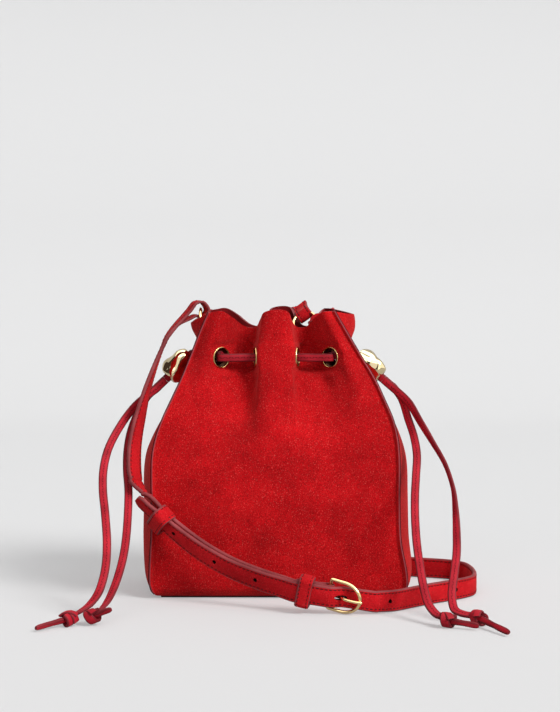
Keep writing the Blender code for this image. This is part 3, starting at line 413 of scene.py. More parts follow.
# Strap on the ground around the right side, then up behind the bag to the right ring.
GROUND_LEVEL = 8.3
GROUND = [(69.5, -107.5, 9.4, 0, -.08, 1), (84.5, -97.5, 8.4, 0, 0, 1)]
GROUND += [(x, y, GROUND_LEVEL, 0, 0, 1) for x, y in
           ((98, -84), (113, -69), (128, -56.5), (140, -45), (147.5, -34), (150.3, -20), (150.5, -5),
            (149.5, 10), (146, 25), (137, 36), (127, 41), (117.5, 44.5), (105, 50), (92, 58), (77, 67))]
GROUND.append((58, 75, 8.4, 0, 0, 1))
RISE = [(38, 80, 9.8, .1, 0, 1), (16, 83, 14, .25, 0, 1), (-7, 84, 22, .45, 0, .9),
        (-27, 82, 35.5, .6, 0, .8), (-41, 79, 54, .8, 0, .6), (-47.5, 74, 78, 1, 0, .2),
        (-46, 69, 105, 1, 0, 0), (-38, 63, 134, 1, 0, -.3), (-25, 57, 161, .9, 0, -.4),
        (-8, 52.5, 184, .85, 0, -.45), (7, 49, 200, .9, 0, -.2)]
RING_POINT = RINGS["right"][0] + Vector((-.264, .748, .60)) * RING_RADIUS
LOOP_UP = Vector((-.58, 0, .81))
LOOP_ACROSS = (.81, 0, .58)
# The loop around the right ring: distance behind the wire and distance above it.
RIGHT_LOOP = [(31, 5.4), (22, 3.2), (12, 2.4), (5, 2.3), (-.4, 2.0), (-3.0, -.8), (-1.6, -4.0), (3, -4.8),
              (7, -4.0), (11, -2.4)]


def strap_rows(rows, level=0.0):
    """Full-width rows moved along the strap's outward face by a level."""
    path = smooth_rows([row[:6] for row in rows], 4)
    _, _, _, face = ribbon_frames(path)
    path[:, :3] += face * level
    return [(*row, STRAP_WIDTH, STRAP_THICK) for row in path]


def buckle_point(along, up, out):
    return BUCKLE_AT + BUCKLE_ALONG * along + BUCKLE_ACROSS * up + BUCKLE_OUT * out


def buckle_row(along, out, thick=STRAP_THICK):
    return (*buckle_point(along, 0, out), *BUCKLE_ACROSS, STRAP_WIDTH, thick)


def buckle_strap_rows():
    """The strap's short part: loop at the left ring, fall, front, and fold at the buckle."""
    half = (STRAP_THICK + STRAP_GAP) / 2
    middle = BUCKLE_LEVEL - half
    rows = LEFT_LOOP + strap_rows(LEFT_FALL) + strap_rows(overlap_rows(), -half)[1:]
    rows += [buckle_row(-5, middle, thick=2.4),
             buckle_row(-1, 1.1, thick=2.0), buckle_row(1.8, .3, thick=1.8),
             buckle_row(2.6, BAR_LEVEL, thick=1.8), buckle_row(1.8, -3.4, thick=1.8),
             buckle_row(-1, -4.2, thick=1.8), buckle_row(-6, -2.9, thick=1.8),
             buckle_row(-14, -2.4, thick=1.8), buckle_row(-25, -2.4, thick=1.6)]
    return rows


def overlap_rows():
    """The middle line of both layers up to the buckle."""
    return OVERLAP + [buckle_row(along, BUCKLE_LEVEL)[:6] for along in (-25, -18, -11)]


def tail_level(along):
    """How far out the punched part lies at the buckle: over the fold, then inside the frame."""
    share = min(max(along / 12, 0), 1)
    return 4.25 - 5.45 * share * share * (3 - 2 * share)


def punched_strap_rows():
    """The strap's long part: tip, overlap, buckle, ground, back of the bag, right ring."""
    half = (STRAP_THICK + STRAP_GAP) / 2
    rows = strap_rows(PUNCHED_TIP + overlap_rows()[2:], half)
    rows[0] = (*rows[0][:6], 9, STRAP_THICK)
    rows += [buckle_row(along, tail_level(along)) for along in (-5, 0, 3, 6, 9, 12, 17, 23)]
    rows += strap_rows(GROUND + RISE)
    rows += [(*(RING_POINT + Vector((1.6, back, 0)) + LOOP_UP * up), *LOOP_ACROSS, 12, 2)
             for back, up in RIGHT_LOOP]
    return rows


# ---------------- meshes
def add_object(name, data):
    made = bpy.data.objects.new(name, data)
    bpy.context.scene.collection.objects.link(made)
    return made


def new_piece(name, points, faces, materials, body="bag", kinds=None, sharp=50):
    """A mesh piece from points in millimetres that rides on a body."""
    mesh = bpy.data.meshes.new(name)
    mesh.from_pydata((np.asarray(points, float) * MM).tolist(), [], faces)
    for material in materials:
        mesh.materials.append(material)
    if kinds is not None:
        mesh.polygons.foreach_set("material_index", kinds)
    mesh.shade_smooth()
    mesh.set_sharp_from_angle(angle=math.radians(sharp))
    mesh.update()
    piece = add_object(name, mesh)
    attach(piece, body)
    return piece


def tube_faces(count, sides):
    """Faces of a capped tube made of count rings."""
    faces = loop_faces(count, sides)[:-sides]
    return faces + [list(range(sides))[::-1], [(count - 1) * sides + j for j in range(sides)]]


def loop_faces(count, sides):
    """Faces of a closed loop made of count rings."""
    return [[i * sides + j, i * sides + (j + 1) % sides,
             (i + 1) % count * sides + (j + 1) % sides, (i + 1) % count * sides + j]
            for i in range(count) for j in range(sides)]


def lathe(name, profile, centre, axis, material, body, segments):
    """A ring turned about an axis from a closed profile of (radius, height along the axis)."""
    axis = Vector(axis).normalized()
    side, up = axes_of(axis)
    points = []
    for i in range(segments):
        angle = 2 * math.pi * i / segments
        out = side * math.cos(angle) + up * math.sin(angle)
        points += [tuple(Vector(centre) + out * radius + axis * height) for radius, height in profile]
    return new_piece(name, points, loop_faces(segments, len(profile)), [material], body, sharp=60)


def round_rings(path, along, side, radius, sides):
    """Points of a round tube along a path; side is square to the path's own direction."""
    path = np.asarray(path, float)
    side = np.broadcast_to(side, path.shape)
    up = np.cross(side, along)
    angles = 2 * np.pi * np.arange(sides) / sides
    rings = path[:, None] + np.array(radius, float)[:, None, None] * (
        side[:, None] * np.cos(angles)[None, :, None] + up[:, None] * np.sin(angles)[None, :, None])
    return rings.reshape(-1, 3)


def leather_section(half_width, half_thick, groove):
    """A leather strip's cross-section, as (across, out, is edge) from one edge round to the other."""
    round_edge = min(half_thick, half_width) * .8
    arc = [(half_width - round_edge + round_edge * math.cos(a), half_thick * math.sin(a), 1)
           for a in np.linspace(-math.pi / 2, math.pi / 2, 7)]
    face = []
    if groove:
        face = [(half_width - 1.7, half_thick + .04, 0), (half_width - 2.3, half_thick - .2, 0),
                (half_width - 2.9, half_thick + .06, 0)]
    face.append((0, half_thick + .12, 0))
    top = arc + face + [(-x, y, 0) for x, y, _ in reversed(face[:-1])]
    return top + [(-x, -y, kind) for x, y, kind in top]


STRIP_BEND = .14         # a strip has a ring at least every so many radians of bend


def strip(name, rows, spacing, materials, groove=True):
    """A leather strip with painted edges through rows of (place, width direction, width, thickness)."""
    path = smooth_rows(rows, spacing, STRIP_BEND)
    place, _, across, face = ribbon_frames(path)
    rings = []
    for p, a, f, width, thick in zip(place, across, face, path[:, 6], path[:, 7]):
        section = leather_section(width / 2, thick / 2, groove and width > 7)
        rings.append([p + a * x + f * y for x, y, _ in section])
    section = leather_section(path[0, 6] / 2, path[0, 7] / 2, groove and path[0, 6] > 7)
    sides = len(section)
    edge = [1 if section[j][2] and section[(j + 1) % sides][2] else 0 for j in range(sides)]
    kinds = edge * (len(rings) - 1) + [1, 1]
    return new_piece(name, np.array(rings).reshape(-1, 3), tube_faces(len(rings), sides), materials,
                     kinds=kinds, sharp=60)


def stitch_shape(length, radius):
    """A thread's stitch along X, as points and faces."""
    points = []
    for x, grow in ((-.5, .35), (-.3, 1), (.3, 1), (.5, .35)):
        for j in range(6):
            angle = math.pi * j / 3
            points.append((x * length, radius * grow * math.cos(angle),
                           radius * grow * .7 * math.sin(angle)))
    return np.array(points), tube_faces(4, 6)


def stitches(name, lines, material, body="bag", length=2.3, step=3.3, radius=.4, slant=0.0):
    """Rows of stitches; each line is arrays of places, directions and width and face directions."""
    shape, shape_faces = stitch_shape(length, radius)
    points, faces = [], []
    for place, along, across, face in lines:
        run = np.append(0, np.cumsum(np.linalg.norm(np.diff(place, axis=0), axis=1)))
        for k, at in enumerate(np.arange(step * .8, run[-1] - step * .5, step)):
            row = [np.array([np.interp(at, run, column) for column in values.T])
                   for values in (place, along, across, face)]
            row[1] = row[1] + row[2] * (slant if k % 2 else -slant)
            row[2] = np.cross(row[3], row[1])
            turned = shape @ np.array([unit(row[1]), unit(row[2]), unit(row[3])])
            faces += [[v + len(points) * len(shape) for v in f] for f in shape_faces]
            points.append(turned + row[0])
    return new_piece(name, np.array(points).reshape(-1, 3), faces, [material], body)


def stitch_lines(rows, inset, sink, sides=(-1, 1), trim=6):
    """Lines for stitches on both faces of a strip, inset from its edges and sunk into its faces."""
    path = smooth_rows(rows, 1.0, 9)[trim:-trim]
    place, along, across, face = ribbon_frames(path)
    half_width = path[:, 6:7] / 2
    half_thick = path[:, 7:8] / 2
    lines = []
    for side in sides:
        for out in (1, -1):
            line = place + across * side * (half_width - inset) + face * out * (half_thick - sink)
            lines.append((line, along, across, face * out))
    return lines


def clear_of_bar(lines):
    """Stop the stitches on each side of the buckle's bar, which the strap is folded round."""
    bar = np.array(buckle_point(0, 0, BAR_LEVEL))
    upright = np.array(BUCKLE_ACROSS)
    kept = []
    for line in lines:
        offset = line[0] - bar
        offset = offset - (offset @ upright)[:, None] * upright
        near = np.linalg.norm(offset, axis=1) < CLEAR_OF_BAR
        if not near.any():
            kept.append(line)
            continue
        first, last = np.flatnonzero(near)[[0, -1]]
        kept.append(tuple(part[:first] for part in line))
        if last + SHORTEST_STITCHING < len(line[0]):
            kept.append(tuple(part[last + 1:] for part in line))
    return kept


def cut(piece, tools):
    """Cut tools out of a piece for good, and remove the tools."""
    for tool in tools:
        step = piece.modifiers.new("cut", 'BOOLEAN')
        step.operation = 'DIFFERENCE'
        step.solver = 'EXACT'
        step.object = tool
    graph = bpy.context.evaluated_depsgraph_get()
    shape = bpy.data.meshes.new_from_object(piece.evaluated_get(graph))
    piece.modifiers.clear()
    piece.data = shape
    for tool in tools:
        bpy.data.objects.remove(tool, do_unlink=True)


def drill(centre, axis, radius, half, stretch=1.0):
    """A cutter's plain cylinder, stretch times as long across as it is high."""
    segments = 24
    side, up = axes_of(axis)
    axis = Vector(axis).normalized()
    points = []
    for end in (-half, half):
        for i in range(segments):
            angle = 2 * math.pi * i / segments
            points.append((Vector(centre) + side * math.cos(angle) * radius * stretch
                           + up * math.sin(angle) * radius + axis * end) * MM)
    mesh = bpy.data.meshes.new("drill")
    mesh.from_pydata([tuple(p) for p in points], [], tube_faces(2, segments))
    # The cutter's faces carry the painted hole shade into the cut.
    for material in (None, None, PAINTED_HOLE_SHADE):
        mesh.materials.append(material)
    mesh.polygons.foreach_set("material_index", [2] * len(mesh.polygons))
    return add_object("drill", mesh)


# ---------------- materials
def node(tree, kind, **values):
    made = tree.nodes.new(kind)
    for key, value in values.items():
        if key in made.inputs:
            made.inputs[key].default_value = value
        else:
            setattr(made, key, value)
    return made


def ramp(tree, source, stops):
    made = tree.nodes.new("ShaderNodeValToRGB")
    line = made.color_ramp
    while len(line.elements) < len(stops):
        line.elements.new(.5)
    for element, (at, colour) in zip(line.elements, stops):
        element.position = at
        element.color = (*colour, 1)
    tree.links.new(source, made.inputs["Fac"])
    return made


def mix(tree, a, b, fac, blend='MIX'):
    made = tree.nodes.new("ShaderNodeMix")
    made.data_type = 'RGBA'
    made.blend_type = blend
    for socket, value in ((made.inputs[0], fac), (made.inputs[6], a), (made.inputs[7], b)):
        if hasattr(value, "links"):
            tree.links.new(value, socket)
        else:
            socket.default_value = value
    return made.outputs[2]


def new_material(name, roughness, metallic=0.0):
    made = bpy.data.materials.new(name)
    made.use_nodes = True
    shader = made.node_tree.nodes["Principled BSDF"]
    shader.inputs["Roughness"].default_value = roughness
    shader.inputs["Metallic"].default_value = metallic
    return made, made.node_tree, shader


def noise_of(tree, scale, detail=3, stretch=(1, 1, 1), roughness=.6):
    place = tree.nodes.new("ShaderNodeTexCoord")
    shape = tree.nodes.new("ShaderNodeMapping")
    shape.inputs["Scale"].default_value = stretch
    tree.links.new(place.outputs["Object"], shape.inputs["Vector"])
    made = node(tree, "ShaderNodeTexNoise", Scale=scale, Detail=detail, Roughness=roughness)
    tree.links.new(shape.outputs["Vector"], made.inputs["Vector"])
    return made.outputs["Fac"]


def generated(tree):
    """The place in an object's own box, from 0 to 1, as X, Y and Z outputs."""
    place = tree.nodes.new("ShaderNodeTexCoord")
    split = tree.nodes.new("ShaderNodeSeparateXYZ")
    tree.links.new(place.outputs["Generated"], split.inputs[0])
    return split.outputs


def bump(tree, shader, heights, distance):
    """Stack bumps of (height, strength) on the shader."""
    last = None
    for height, strength in heights:
        made = node(tree, "ShaderNodeBump", Strength=strength, Distance=distance)
        tree.links.new(height, made.inputs["Height"])
        if last:
            tree.links.new(last, made.inputs["Normal"])
        last = made.outputs["Normal"]
    tree.links.new(last, shader.inputs["Normal"])


def suede_material(name, dark, middle, light, grain=1.0, sheen=.25):
    """Napped leather: cloudy brush marks, dark and bright flecks and a soft sheen."""
    made, tree, shader = new_material(name, .92)
    clouds = noise_of(tree, 20, 4, (1, 1, 1.3), .65)
    strokes = noise_of(tree, 110, 3, (1, 1, .5))
    speckle = noise_of(tree, 1150, 2, roughness=.75)
    fleck = noise_of(tree, 1300, 1, (1.1, 1, .9))
    base = ramp(tree, clouds, [(.34, dark), (.52, middle), (.72, light)])
    worn = ramp(tree, strokes, [(.30, (.88, .80, .80)), (.70, (1.08, 1.14, 1.14))])
    colour = mix(tree, base.outputs["Color"], worn.outputs["Color"], 1.0, 'MULTIPLY')
    grains = ramp(tree, speckle, [(.37, (.36, .24, .24)), (.47, (.96, .92, .92)), (.64, (1.2, 1.3, 1.3))])
    colour = mix(tree, colour, grains.outputs["Color"], .72 * grain, 'MULTIPLY')
    sparks = ramp(tree, fleck, [(.60, (0, 0, 0)), (.73, (.30, .075, .065))])
    colour = mix(tree, colour, sparks.outputs["Color"], .62 * grain, 'ADD')
    tree.links.new(colour, shader.inputs["Base Color"])
    shader.inputs["Specular IOR Level"].default_value = .12
    shader.inputs["Sheen Weight"].default_value = sheen
    shader.inputs["Sheen Roughness"].default_value = .45
    shader.inputs["Sheen Tint"].default_value = (1, .2, .18, 1)
    bump(tree, shader, [(strokes, .12), (speckle, .4 * grain)], .0004)
    return made


def leather_material(name, colour, roughness, grain=.2, scale=700, specular=.35):
    made, tree, shader = new_material(name, roughness)
    pores = noise_of(tree, scale, 3)
    worn = noise_of(tree, 60, 2)
    darker = tuple(v * .72 for v in colour)
    lighter = tuple(min(1, v * 1.25 + .006) for v in colour)
    tone = ramp(tree, worn, [(.3, darker), (.7, lighter)])
    tree.links.new(tone.outputs["Color"], shader.inputs["Base Color"])
    shader.inputs["Specular IOR Level"].default_value = specular
    bump(tree, shader, [(pores, grain)], .0003)
    return made


def gold_material(name, colour, roughness):
    made, tree, shader = new_material(name, roughness, 1)
    shader.inputs["Base Color"].default_value = (*colour, 1)
    smears = noise_of(tree, 90, 2)
    level = ramp(tree, smears, [(.3, (roughness * .7,) * 3), (.7, (roughness * 1.4,) * 3)])
    tree.links.new(level.outputs["Color"], shader.inputs["Roughness"])
    bump(tree, shader, [(noise_of(tree, 160, 1), .06)], .0006)
    return made


SUEDE = suede_material("suede_red", (.35, .0012, .0034), (.46, .0024, .0052), (.56, .0050, .0080))
STRAP_SUEDE = suede_material("suede_strap", (.38, .0030, .0070), (.50, .0050, .0100),
                             (.60, .0090, .0150), .6, .15)
LINING = leather_material("suede_inside", (.15, .002, .004), .95, .3, 900, .1)
LACE = leather_material("leather_lace", (.40, .0050, .0170), .6, .25, 900, .2)
LACE_EDGE = leather_material("paint_lace", (.17, .007, .013), .6, .2, 500, .2)
EDGE = leather_material("paint_edge", (.24, .036, .040), .6, .2, 500, .2)
SEAM_EDGE = leather_material("paint_seam_front", (.30, .034, .044), .55, .2, 500, .25)
RIM_EDGE = leather_material("paint_rim", (.17, .010, .014), .55, .15, 500, .4)
# Near black painted shade: the seams' side edges, and the contact shadow at the base's edge under the walls.
SEAM_AND_BASE_PAINTED_SHADE = leather_material("seam_and_base_painted_shade", (.045, .002, .004), .8, .15, 500, .1)
THREAD = leather_material("thread_red", (.055, .001, .003), .8, .2, 1500, .15)
LACE_THREAD = leather_material("thread_lace", (.16, .0015, .007), .8, .2, 1500, .15)
# Near black painted shade on the walls and floors of the strap's cut holes and of its slot at the bar.
PAINTED_HOLE_SHADE = leather_material("hole_painted_shade", (.02, .002, .002), .9, .1, 800, .05)
GOLD = gold_material("gold_plate", (.90, .68, .34), .14)
EYELET_GOLD = gold_material("gold_eyelet", (.66, .46, .20), .2)
# Dark gold: painted shade inside the eyelets' funnels.
PAINTED_SHADE_GOLD = gold_material("gold_painted_shade", (.10, .045, .02), .4)
BEAD_GOLD = gold_material("gold_bead", (.93, .76, .46), .07)
BOARD = leather_material("board_brown", (.10, .07, .05), .9)


# ---------------- camera
LOOK_DOWN = 3.67         # the camera's tilt below level, in degrees


def camera():
    lens = bpy.data.cameras.new("camera")
    lens.sensor_fit = 'VERTICAL'
    lens.sensor_height = 36
    lens.lens = 101.6
    eye = add_object("camera", lens)
    eye.location = (.001, -1.548, .28)
    eye.rotation_euler = (math.radians(90 - LOOK_DOWN), 0, 0)
    scene = bpy.context.scene
    scene.camera = eye
    scene.render.resolution_x = 560
    scene.render.resolution_y = 712


# ---------------- laces and knots
def lace_rows_of_tail(name):
    side, lift, route = TAILS[name]
    rows = bead_rows(side, lift, 15 + GAP, 26) + [(*row, LACE_WIDTH, LACE_THICK) for row in route]
    knot_at = Vector(KNOTS[name][0])
    last = Vector(route[-1][:3])
    stop = knot_at + (last - knot_at).normalized() * (KNOT_HALF - 2)
    rows.append((*stop, *route[-1][3:], LACE_WIDTH, LACE_THICK))
    return rows


def lace_strip(name, rows, spacing=2.0):
    return strip(name, rows, spacing, [LACE, LACE_EDGE], groove=False)


def lace_stitches(name, rows):
    """A slanting row of stitches along the middle of a lace's two faces."""
    lines = stitch_lines(rows, 0, -.08, (0,), 2)
    return stitches("stitches_" + name, lines, LACE_THREAD, length=2.0, step=2.3, radius=.36, slant=.5)


def knot_piece(name):
    """An overhand knot: the lace wound once round itself over a core, and its bare tip."""
    centre, tip, across = KNOTS[name]
    centre = Vector(centre) - Vector((0, 0, KNOT_DROP))
    along = (Vector(tip) - centre).normalized()
    side, up = axes_of(along)
    turns = []
    for k, a in enumerate(np.linspace(-.6, 2 * math.pi + 1.2, 22)):
        reach = -3.2 + 6.4 * k / 21
        out = side * math.cos(a) + up * math.sin(a)
        place = centre + along * reach + out * (4.0 - .3 * math.sin(2 * a))
        turns.append((*place, *(along + out * .25 * math.cos(a)), 6.6, 2.2))
    band_piece = lace_strip("knot_turn_" + name[5:], turns, 1.2)
    over = []
    for a in np.linspace(-1.1, 1.1, 7):
        out = -side * math.sin(a) + up * math.cos(a)
        place = centre + along * (5.2 * math.sin(a * .9)) + out * 4.6
        over.append((*place, *(side * .5 + along), 5.6, 1.8))
    over_piece = lace_strip("knot_over_" + name[5:], over, 1.2)
    # Along the bare tip: share of the way, width and thickness.
    shape = ((.25, TIP_WIDTH + .4, TIP_THICK), (.5, TIP_WIDTH - .4, TIP_THICK),
             (.75, TIP_WIDTH, TIP_THICK - .4), (.93, TIP_WIDTH - .3, TIP_THICK - .6),
             (1, TIP_WIDTH - 1.6, TIP_THICK - 1))
    rows = [(*(centre - along * 4), *across, 5.4, 2.6)]
    rows += [(*centre.lerp(Vector(tip), share), *across, width, thick) for share, width, thick in shape]
    tip_piece = lace_strip("knot_tip_" + name[5:], rows, 1.5)
    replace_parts(band_piece, name.replace("tail", "knot"))
    return [band_piece, over_piece, tip_piece]


def cords():
    for name in TAILS:
        rows = lace_rows_of_tail(name)
        piece = lace_strip("lace_" + name, rows)
        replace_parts(piece, name)
        thread = lace_stitches(name, rows)
        path = smooth_rows(rows, 6, 9)[:, :3]
        knot_piece(name) + [thread]


def held_laces():
    for wall, lift in (("front", LACE_STACK), ("back", -LACE_STACK)):
        name = "drawstring_" + wall
        rows = held_lace_rows(wall, lift)
        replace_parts(lace_strip("lace_" + name, rows), name)
        lace_stitches(name, rows)


# ---------------- walls
# Soft folds below the gathered eyelets, front and back: x and z of the top and the foot,
# half width, and height (a valley is below 0).
CREASES = [(-22, 172, -31, 112, 8, -3.6), (15, 172, 20, 118, 7, -3.8), (-40, 160, -46, 128, 9, -1.6),
           (33, 170, 40, 136, 8, -2.6), (-3, 172, -6, 118, 9, 2.0), (55, 172, 64, 130, 8, 1.4),
           (-57, 170, -66, 128, 8, 1.2), (-12, 150, -20, 92, 9, 1.0), (6, 140, 12, 88, 9, -.9)]


def crease(x, z):
    """How far the folds stand out at a place on the front or back."""
    total = 0
    for top_x, top_z, foot_x, foot_z, width, height in CREASES:
        share = (top_z - z) / (top_z - foot_z)
        if -.25 < share < 1:
            line = top_x + (foot_x - top_x) * share
            spread = width * (.7 + .6 * max(share, 0))
            strength = math.sin(math.pi * min(1, (share + .25) / 1.25) ** .6)
            total += height * strength * math.exp(-((x - line) / spread) ** 2)
    return total


def fold(wall, at, point):
    """How far soft folds and slack move the suede outward."""
    x, _, z = point
    if wall in ("left", "right"):
        ease = max(0, min(1, (z - 4) / 20)) * (1 - abs(at) ** 4)
        return .8 * ease * noise.noise(Vector((at * 1.6 + 5, z / 42, 3.1)))
    sign = 3.7 if wall == "back" else 0
    ease = max(0, min(1, (z - 4) / 25)) * (1 - abs(at) ** 6)
    slack = noise.noise(Vector((at * 2.2 + sign, z / 60, .4))) * 1.5
    brushed = noise.noise(Vector((at * 7 + sign, z / 16, 2.4))) * .25
    return ease * (slack + brushed + crease(x, z)) * (1 if z < 172 else max(0, 1 - (z - 172) / 8))


def foot(point):
    """Round the walls in at the foot and stand them on the base's edge."""
    inset = FOOT_ROUND - math.sqrt(max(0, FOOT_ROUND ** 2 - max(0, FOOT_ROUND - point[2]) ** 2))
    lift = FOOT_LIFT * max(0, 1 - point[2] / FOOT_FADE)
    half_width, half_depth = FOOT_HALVES
    return point * np.array((1 - inset / half_width, 1 - inset / half_depth, 1)) + np.array((0, 0, lift))


def wall_grid(wall):
    """Outer points of a wall, as rows of points from the foot to the rim."""
    broad = wall in ("front", "back")
    columns = np.linspace(-1, 1, BROAD_GRID if broad else SIDE_GRID)
    low = list(np.concatenate([[0, .3, .8, 1.5, 2.5, 3.8], np.linspace(5.4, RIM_START, 104)]))
    high = list(np.linspace(RIM_START, ROWS[-1], 17)[1:])
    grid = np.array([[flatten(wall_point(wall, at, row), wall, at) for at in columns] for row in low + high])
    outward = grid_normals(grid)
    if np.sum(outward[:, :, :2] * grid[:, :, :2]) < 0:
        outward = -outward
    lift = np.array([[fold(wall, at, point) for at, point in zip(columns, line)] for line in grid])
    near = np.ones(lift.shape)
    for _, eyelet_wall, eyelet_at in eyelet_places():
        if eyelet_wall == wall:
            middle, _ = eyelet_frame(wall, eyelet_at)
            far = np.linalg.norm(grid - middle, axis=2)
            near *= np.clip((far - 9) / 8, 0, 1)
    grid = grid + outward * (lift * near)[:, :, None]
    return np.array([[foot(point) for point in line] for line in grid]), outward


def grid_normals(grid):
    across = np.gradient(grid, axis=1)
    up = np.gradient(grid, axis=0)
    return unit(np.cross(across, up))


def from_hole(points, centre, normal):
    """Points beside a hole: offsets in its plane, distances from its axis, and heights."""
    offset = points - centre
    height = offset @ normal
    flat = offset - height[:, :, None] * normal
    return flat, np.linalg.norm(flat, axis=2), height


def wall_faces(wall, rows, width, open_here):
    """Faces between a wall's two skins and round its edges, with each face's material."""
    faces, kinds = [], []
    count = rows * width
    for i in range(rows - 1):
        for j in range(width - 1):
            if open_here[i, j]:
                continue
            a, b, c, d = i * width + j, i * width + j + 1, (i + 1) * width + j + 1, (i + 1) * width + j
            faces += [[a, b, c, d], [count + d, count + c, count + b, count + a]]
            kinds += [0, 1]
    for i, top in ((0, False), (rows - 1, True)):
        for j in range(width - 1):
            a, b = i * width + j, i * width + j + 1
            quad = [a, b, count + b, count + a]
            faces.append(quad if top else quad[::-1])
            kinds.append(2)
    for j, right in ((0, False), (width - 1, True)):
        for i in range(rows - 1):
            a, d = i * width + j, (i + 1) * width + j
            quad = [a, d, count + d, count + a]
            faces.append(quad[::-1] if right else quad)
            kinds.append(0)
    if wall in ("back", "left"):
        faces = [face[::-1] for face in faces]
    return faces, kinds


def wall_piece(wall, name, node_name):
    """A wall with its lining, its painted rim and its eyelets' holes."""
    outer, outward = wall_grid(wall)
    inner = outer - outward * LEATHER
    inner[:, :, 2] = outer[:, :, 2]
    rows, width = outer.shape[:2]
    for skin in (outer, inner):
        for edge, near in ((0, 1), (-1, -2)):
            skin[:, edge] += unit(skin[:, near] - skin[:, edge]) * GAP / 2
    holes = [eyelet_frame(wall, at) for _, eyelet_wall, at in eyelet_places() if eyelet_wall == wall]
    middles = (outer[1:, 1:] + outer[:-1, 1:] + outer[1:, :-1] + outer[:-1, :-1]) / 4
    open_here = np.zeros(middles.shape[:2], bool)
    for centre, normal in holes:
        _, radial, height = from_hole(middles, centre, normal)
        open_here |= (radial < OPEN_RADIUS) & (abs(height) < 7)
    for skin in (outer, inner):
        for centre, normal in holes:
            flat, radial, height = from_hole(skin, centre, normal)
            near = (radial > 3) & (radial < HOLE_EDGE) & (abs(height) < 5)
            skin[near] += (flat * (HOLE_EDGE / np.maximum(radial, .1) - 1)[:, :, None])[near]
    points = np.concatenate([outer.reshape(-1, 3), inner.reshape(-1, 3)])
    faces, kinds = wall_faces(wall, rows, width, open_here)
    piece = new_piece(name, points, faces, [SUEDE, LINING, RIM_EDGE], kinds=kinds, sharp=70)
    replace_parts(piece, node_name)


def walls():
    for wall, label, node_name in (("front", "suede_front", "front_panel"),
                                   ("back", "suede_back", "back_panel"),
                                   ("left", "suede_side_left", "side_panel_left"),
                                   ("right", "suede_side_right", "side_panel_right")):
        wall_piece(wall, label, node_name)


def seam_points(side, back):
    """A seam's places from the foot to the rim's corner."""
    corner = pleat(3, -1 if side == "left" else 1)
    heights = np.linspace(2.4, corner, 62)
    return [foot(np.array((seam_x(side, z), seam_y(z) if back else -seam_y(z), z))) for z in heights]


# Each seam's two leather edges: name, place beside the seam, how far it stands out, edge and
# thickness. The side layer's edge is coloured near black as painted shade beside the seam.
SEAM_LAYERS = (("front", .55, 3.8, SEAM_EDGE, 1.2), ("side", -.6, 3.4, SEAM_AND_BASE_PAINTED_SHADE, 1.1))


def seams():
    """The two leather edges of each seam stand out side by side, and rise gradually above the foot."""
    for side, sign in (("left", -1), ("right", 1)):
        for back in (False, True):
            forward = 1 if back else -1
            out = np.array((sign * .62, forward * .78, 0))
            beside = np.array((-sign * .78, forward * .62, 0))
            for layer, shift, tall, edge, thick in SEAM_LAYERS:
                rows = []
                for p in seam_points(side, back):
                    rise = .9 + (tall - .9) * min(1, max(0, p[2] - 3) / 9)
                    rows.append((*(p + out * (rise / 2 - 1.2) + beside * shift), *out, rise, thick))
                label = "seam_%s_%s_%s" % (side, "back" if back else "front", layer)
                strip(label, rows, 2.5, [SUEDE, edge], groove=False)


# ---------------- metal
def eyelets():
    """Each eyelet's thin rim round a funnel painted dark gold as shade, and its washer inside the wall."""
    flange = [(6.4, -1.6), (6.6, -.9), (6.9, -.2), (7.15, .4), (7.4, .75), (7.7, .85), (7.95, .75),
              (8.12, .5), (EYELET_RIM, .1), (7.3, -.1), (7.0, -3.4), (7.2, -3.5),
              (7.1, -3.9), (EYELET_BORE + .3, -3.9), (6.0, -3.6)]
    # The funnel faces that get the painted shade.
    shaded = {0, 1, 2, 9, 10, 11, 12, 13, 14}
    washer = [(PANEL_HOLE, -2.4), (EYELET_RIM - .2, -2.4), (EYELET_RIM, -2.6), (EYELET_RIM - .1, -3.0),
              (PANEL_HOLE, -3.1)]
    segments = 48
    for name, wall, at in eyelet_places():
        centre, normal = eyelet_frame(wall, at)
        ring = lathe("gold_" + name, flange, centre, normal, EYELET_GOLD, "bag", segments)
        ring.data.materials.append(PAINTED_SHADE_GOLD)
        kinds = [1 if j in shaded else 0 for _ in range(segments) for j in range(len(flange))]
        ring.data.polygons.foreach_set("material_index", kinds)
        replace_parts(ring, name)
        label = name.replace("eyelet", "washer")
        piece = lathe("gold_" + label, washer, centre, normal, EYELET_GOLD, "bag", segments)
        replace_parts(piece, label)


def rings():
    profile = [(RING_RADIUS + RING_WIRE * math.cos(a), RING_WIRE * math.sin(a))
               for a in np.linspace(0, 2 * math.pi, 16, endpoint=False)]
    for side, (centre, axis) in RINGS.items():
        name = "ring_" + side
        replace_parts(lathe("gold_" + name, profile, centre, axis, GOLD, name, 72), name)


def bead_radius(angle, share, side):
    """A bead's radius at an angle and at a share of its half length, with its soft dents."""
    shoulder = BEAD_BORE + .8
    body = shoulder + (BEAD_RADIUS - BEAD_BORE - .8) * math.sqrt(max(0, 1 - abs(share) ** 2.6))
    dent = 1 + .10 * math.sin(3 * angle + 2.2 * share) - .07 * math.cos(2 * angle - 3 * share)
    place = Vector((math.cos(angle) * 1.5, math.sin(angle) * 1.5, share * 1.4 + (3 if side == "left" else 0)))
    dent += .07 * noise.noise(place * 1.3)
    return max(shoulder, body * dent)


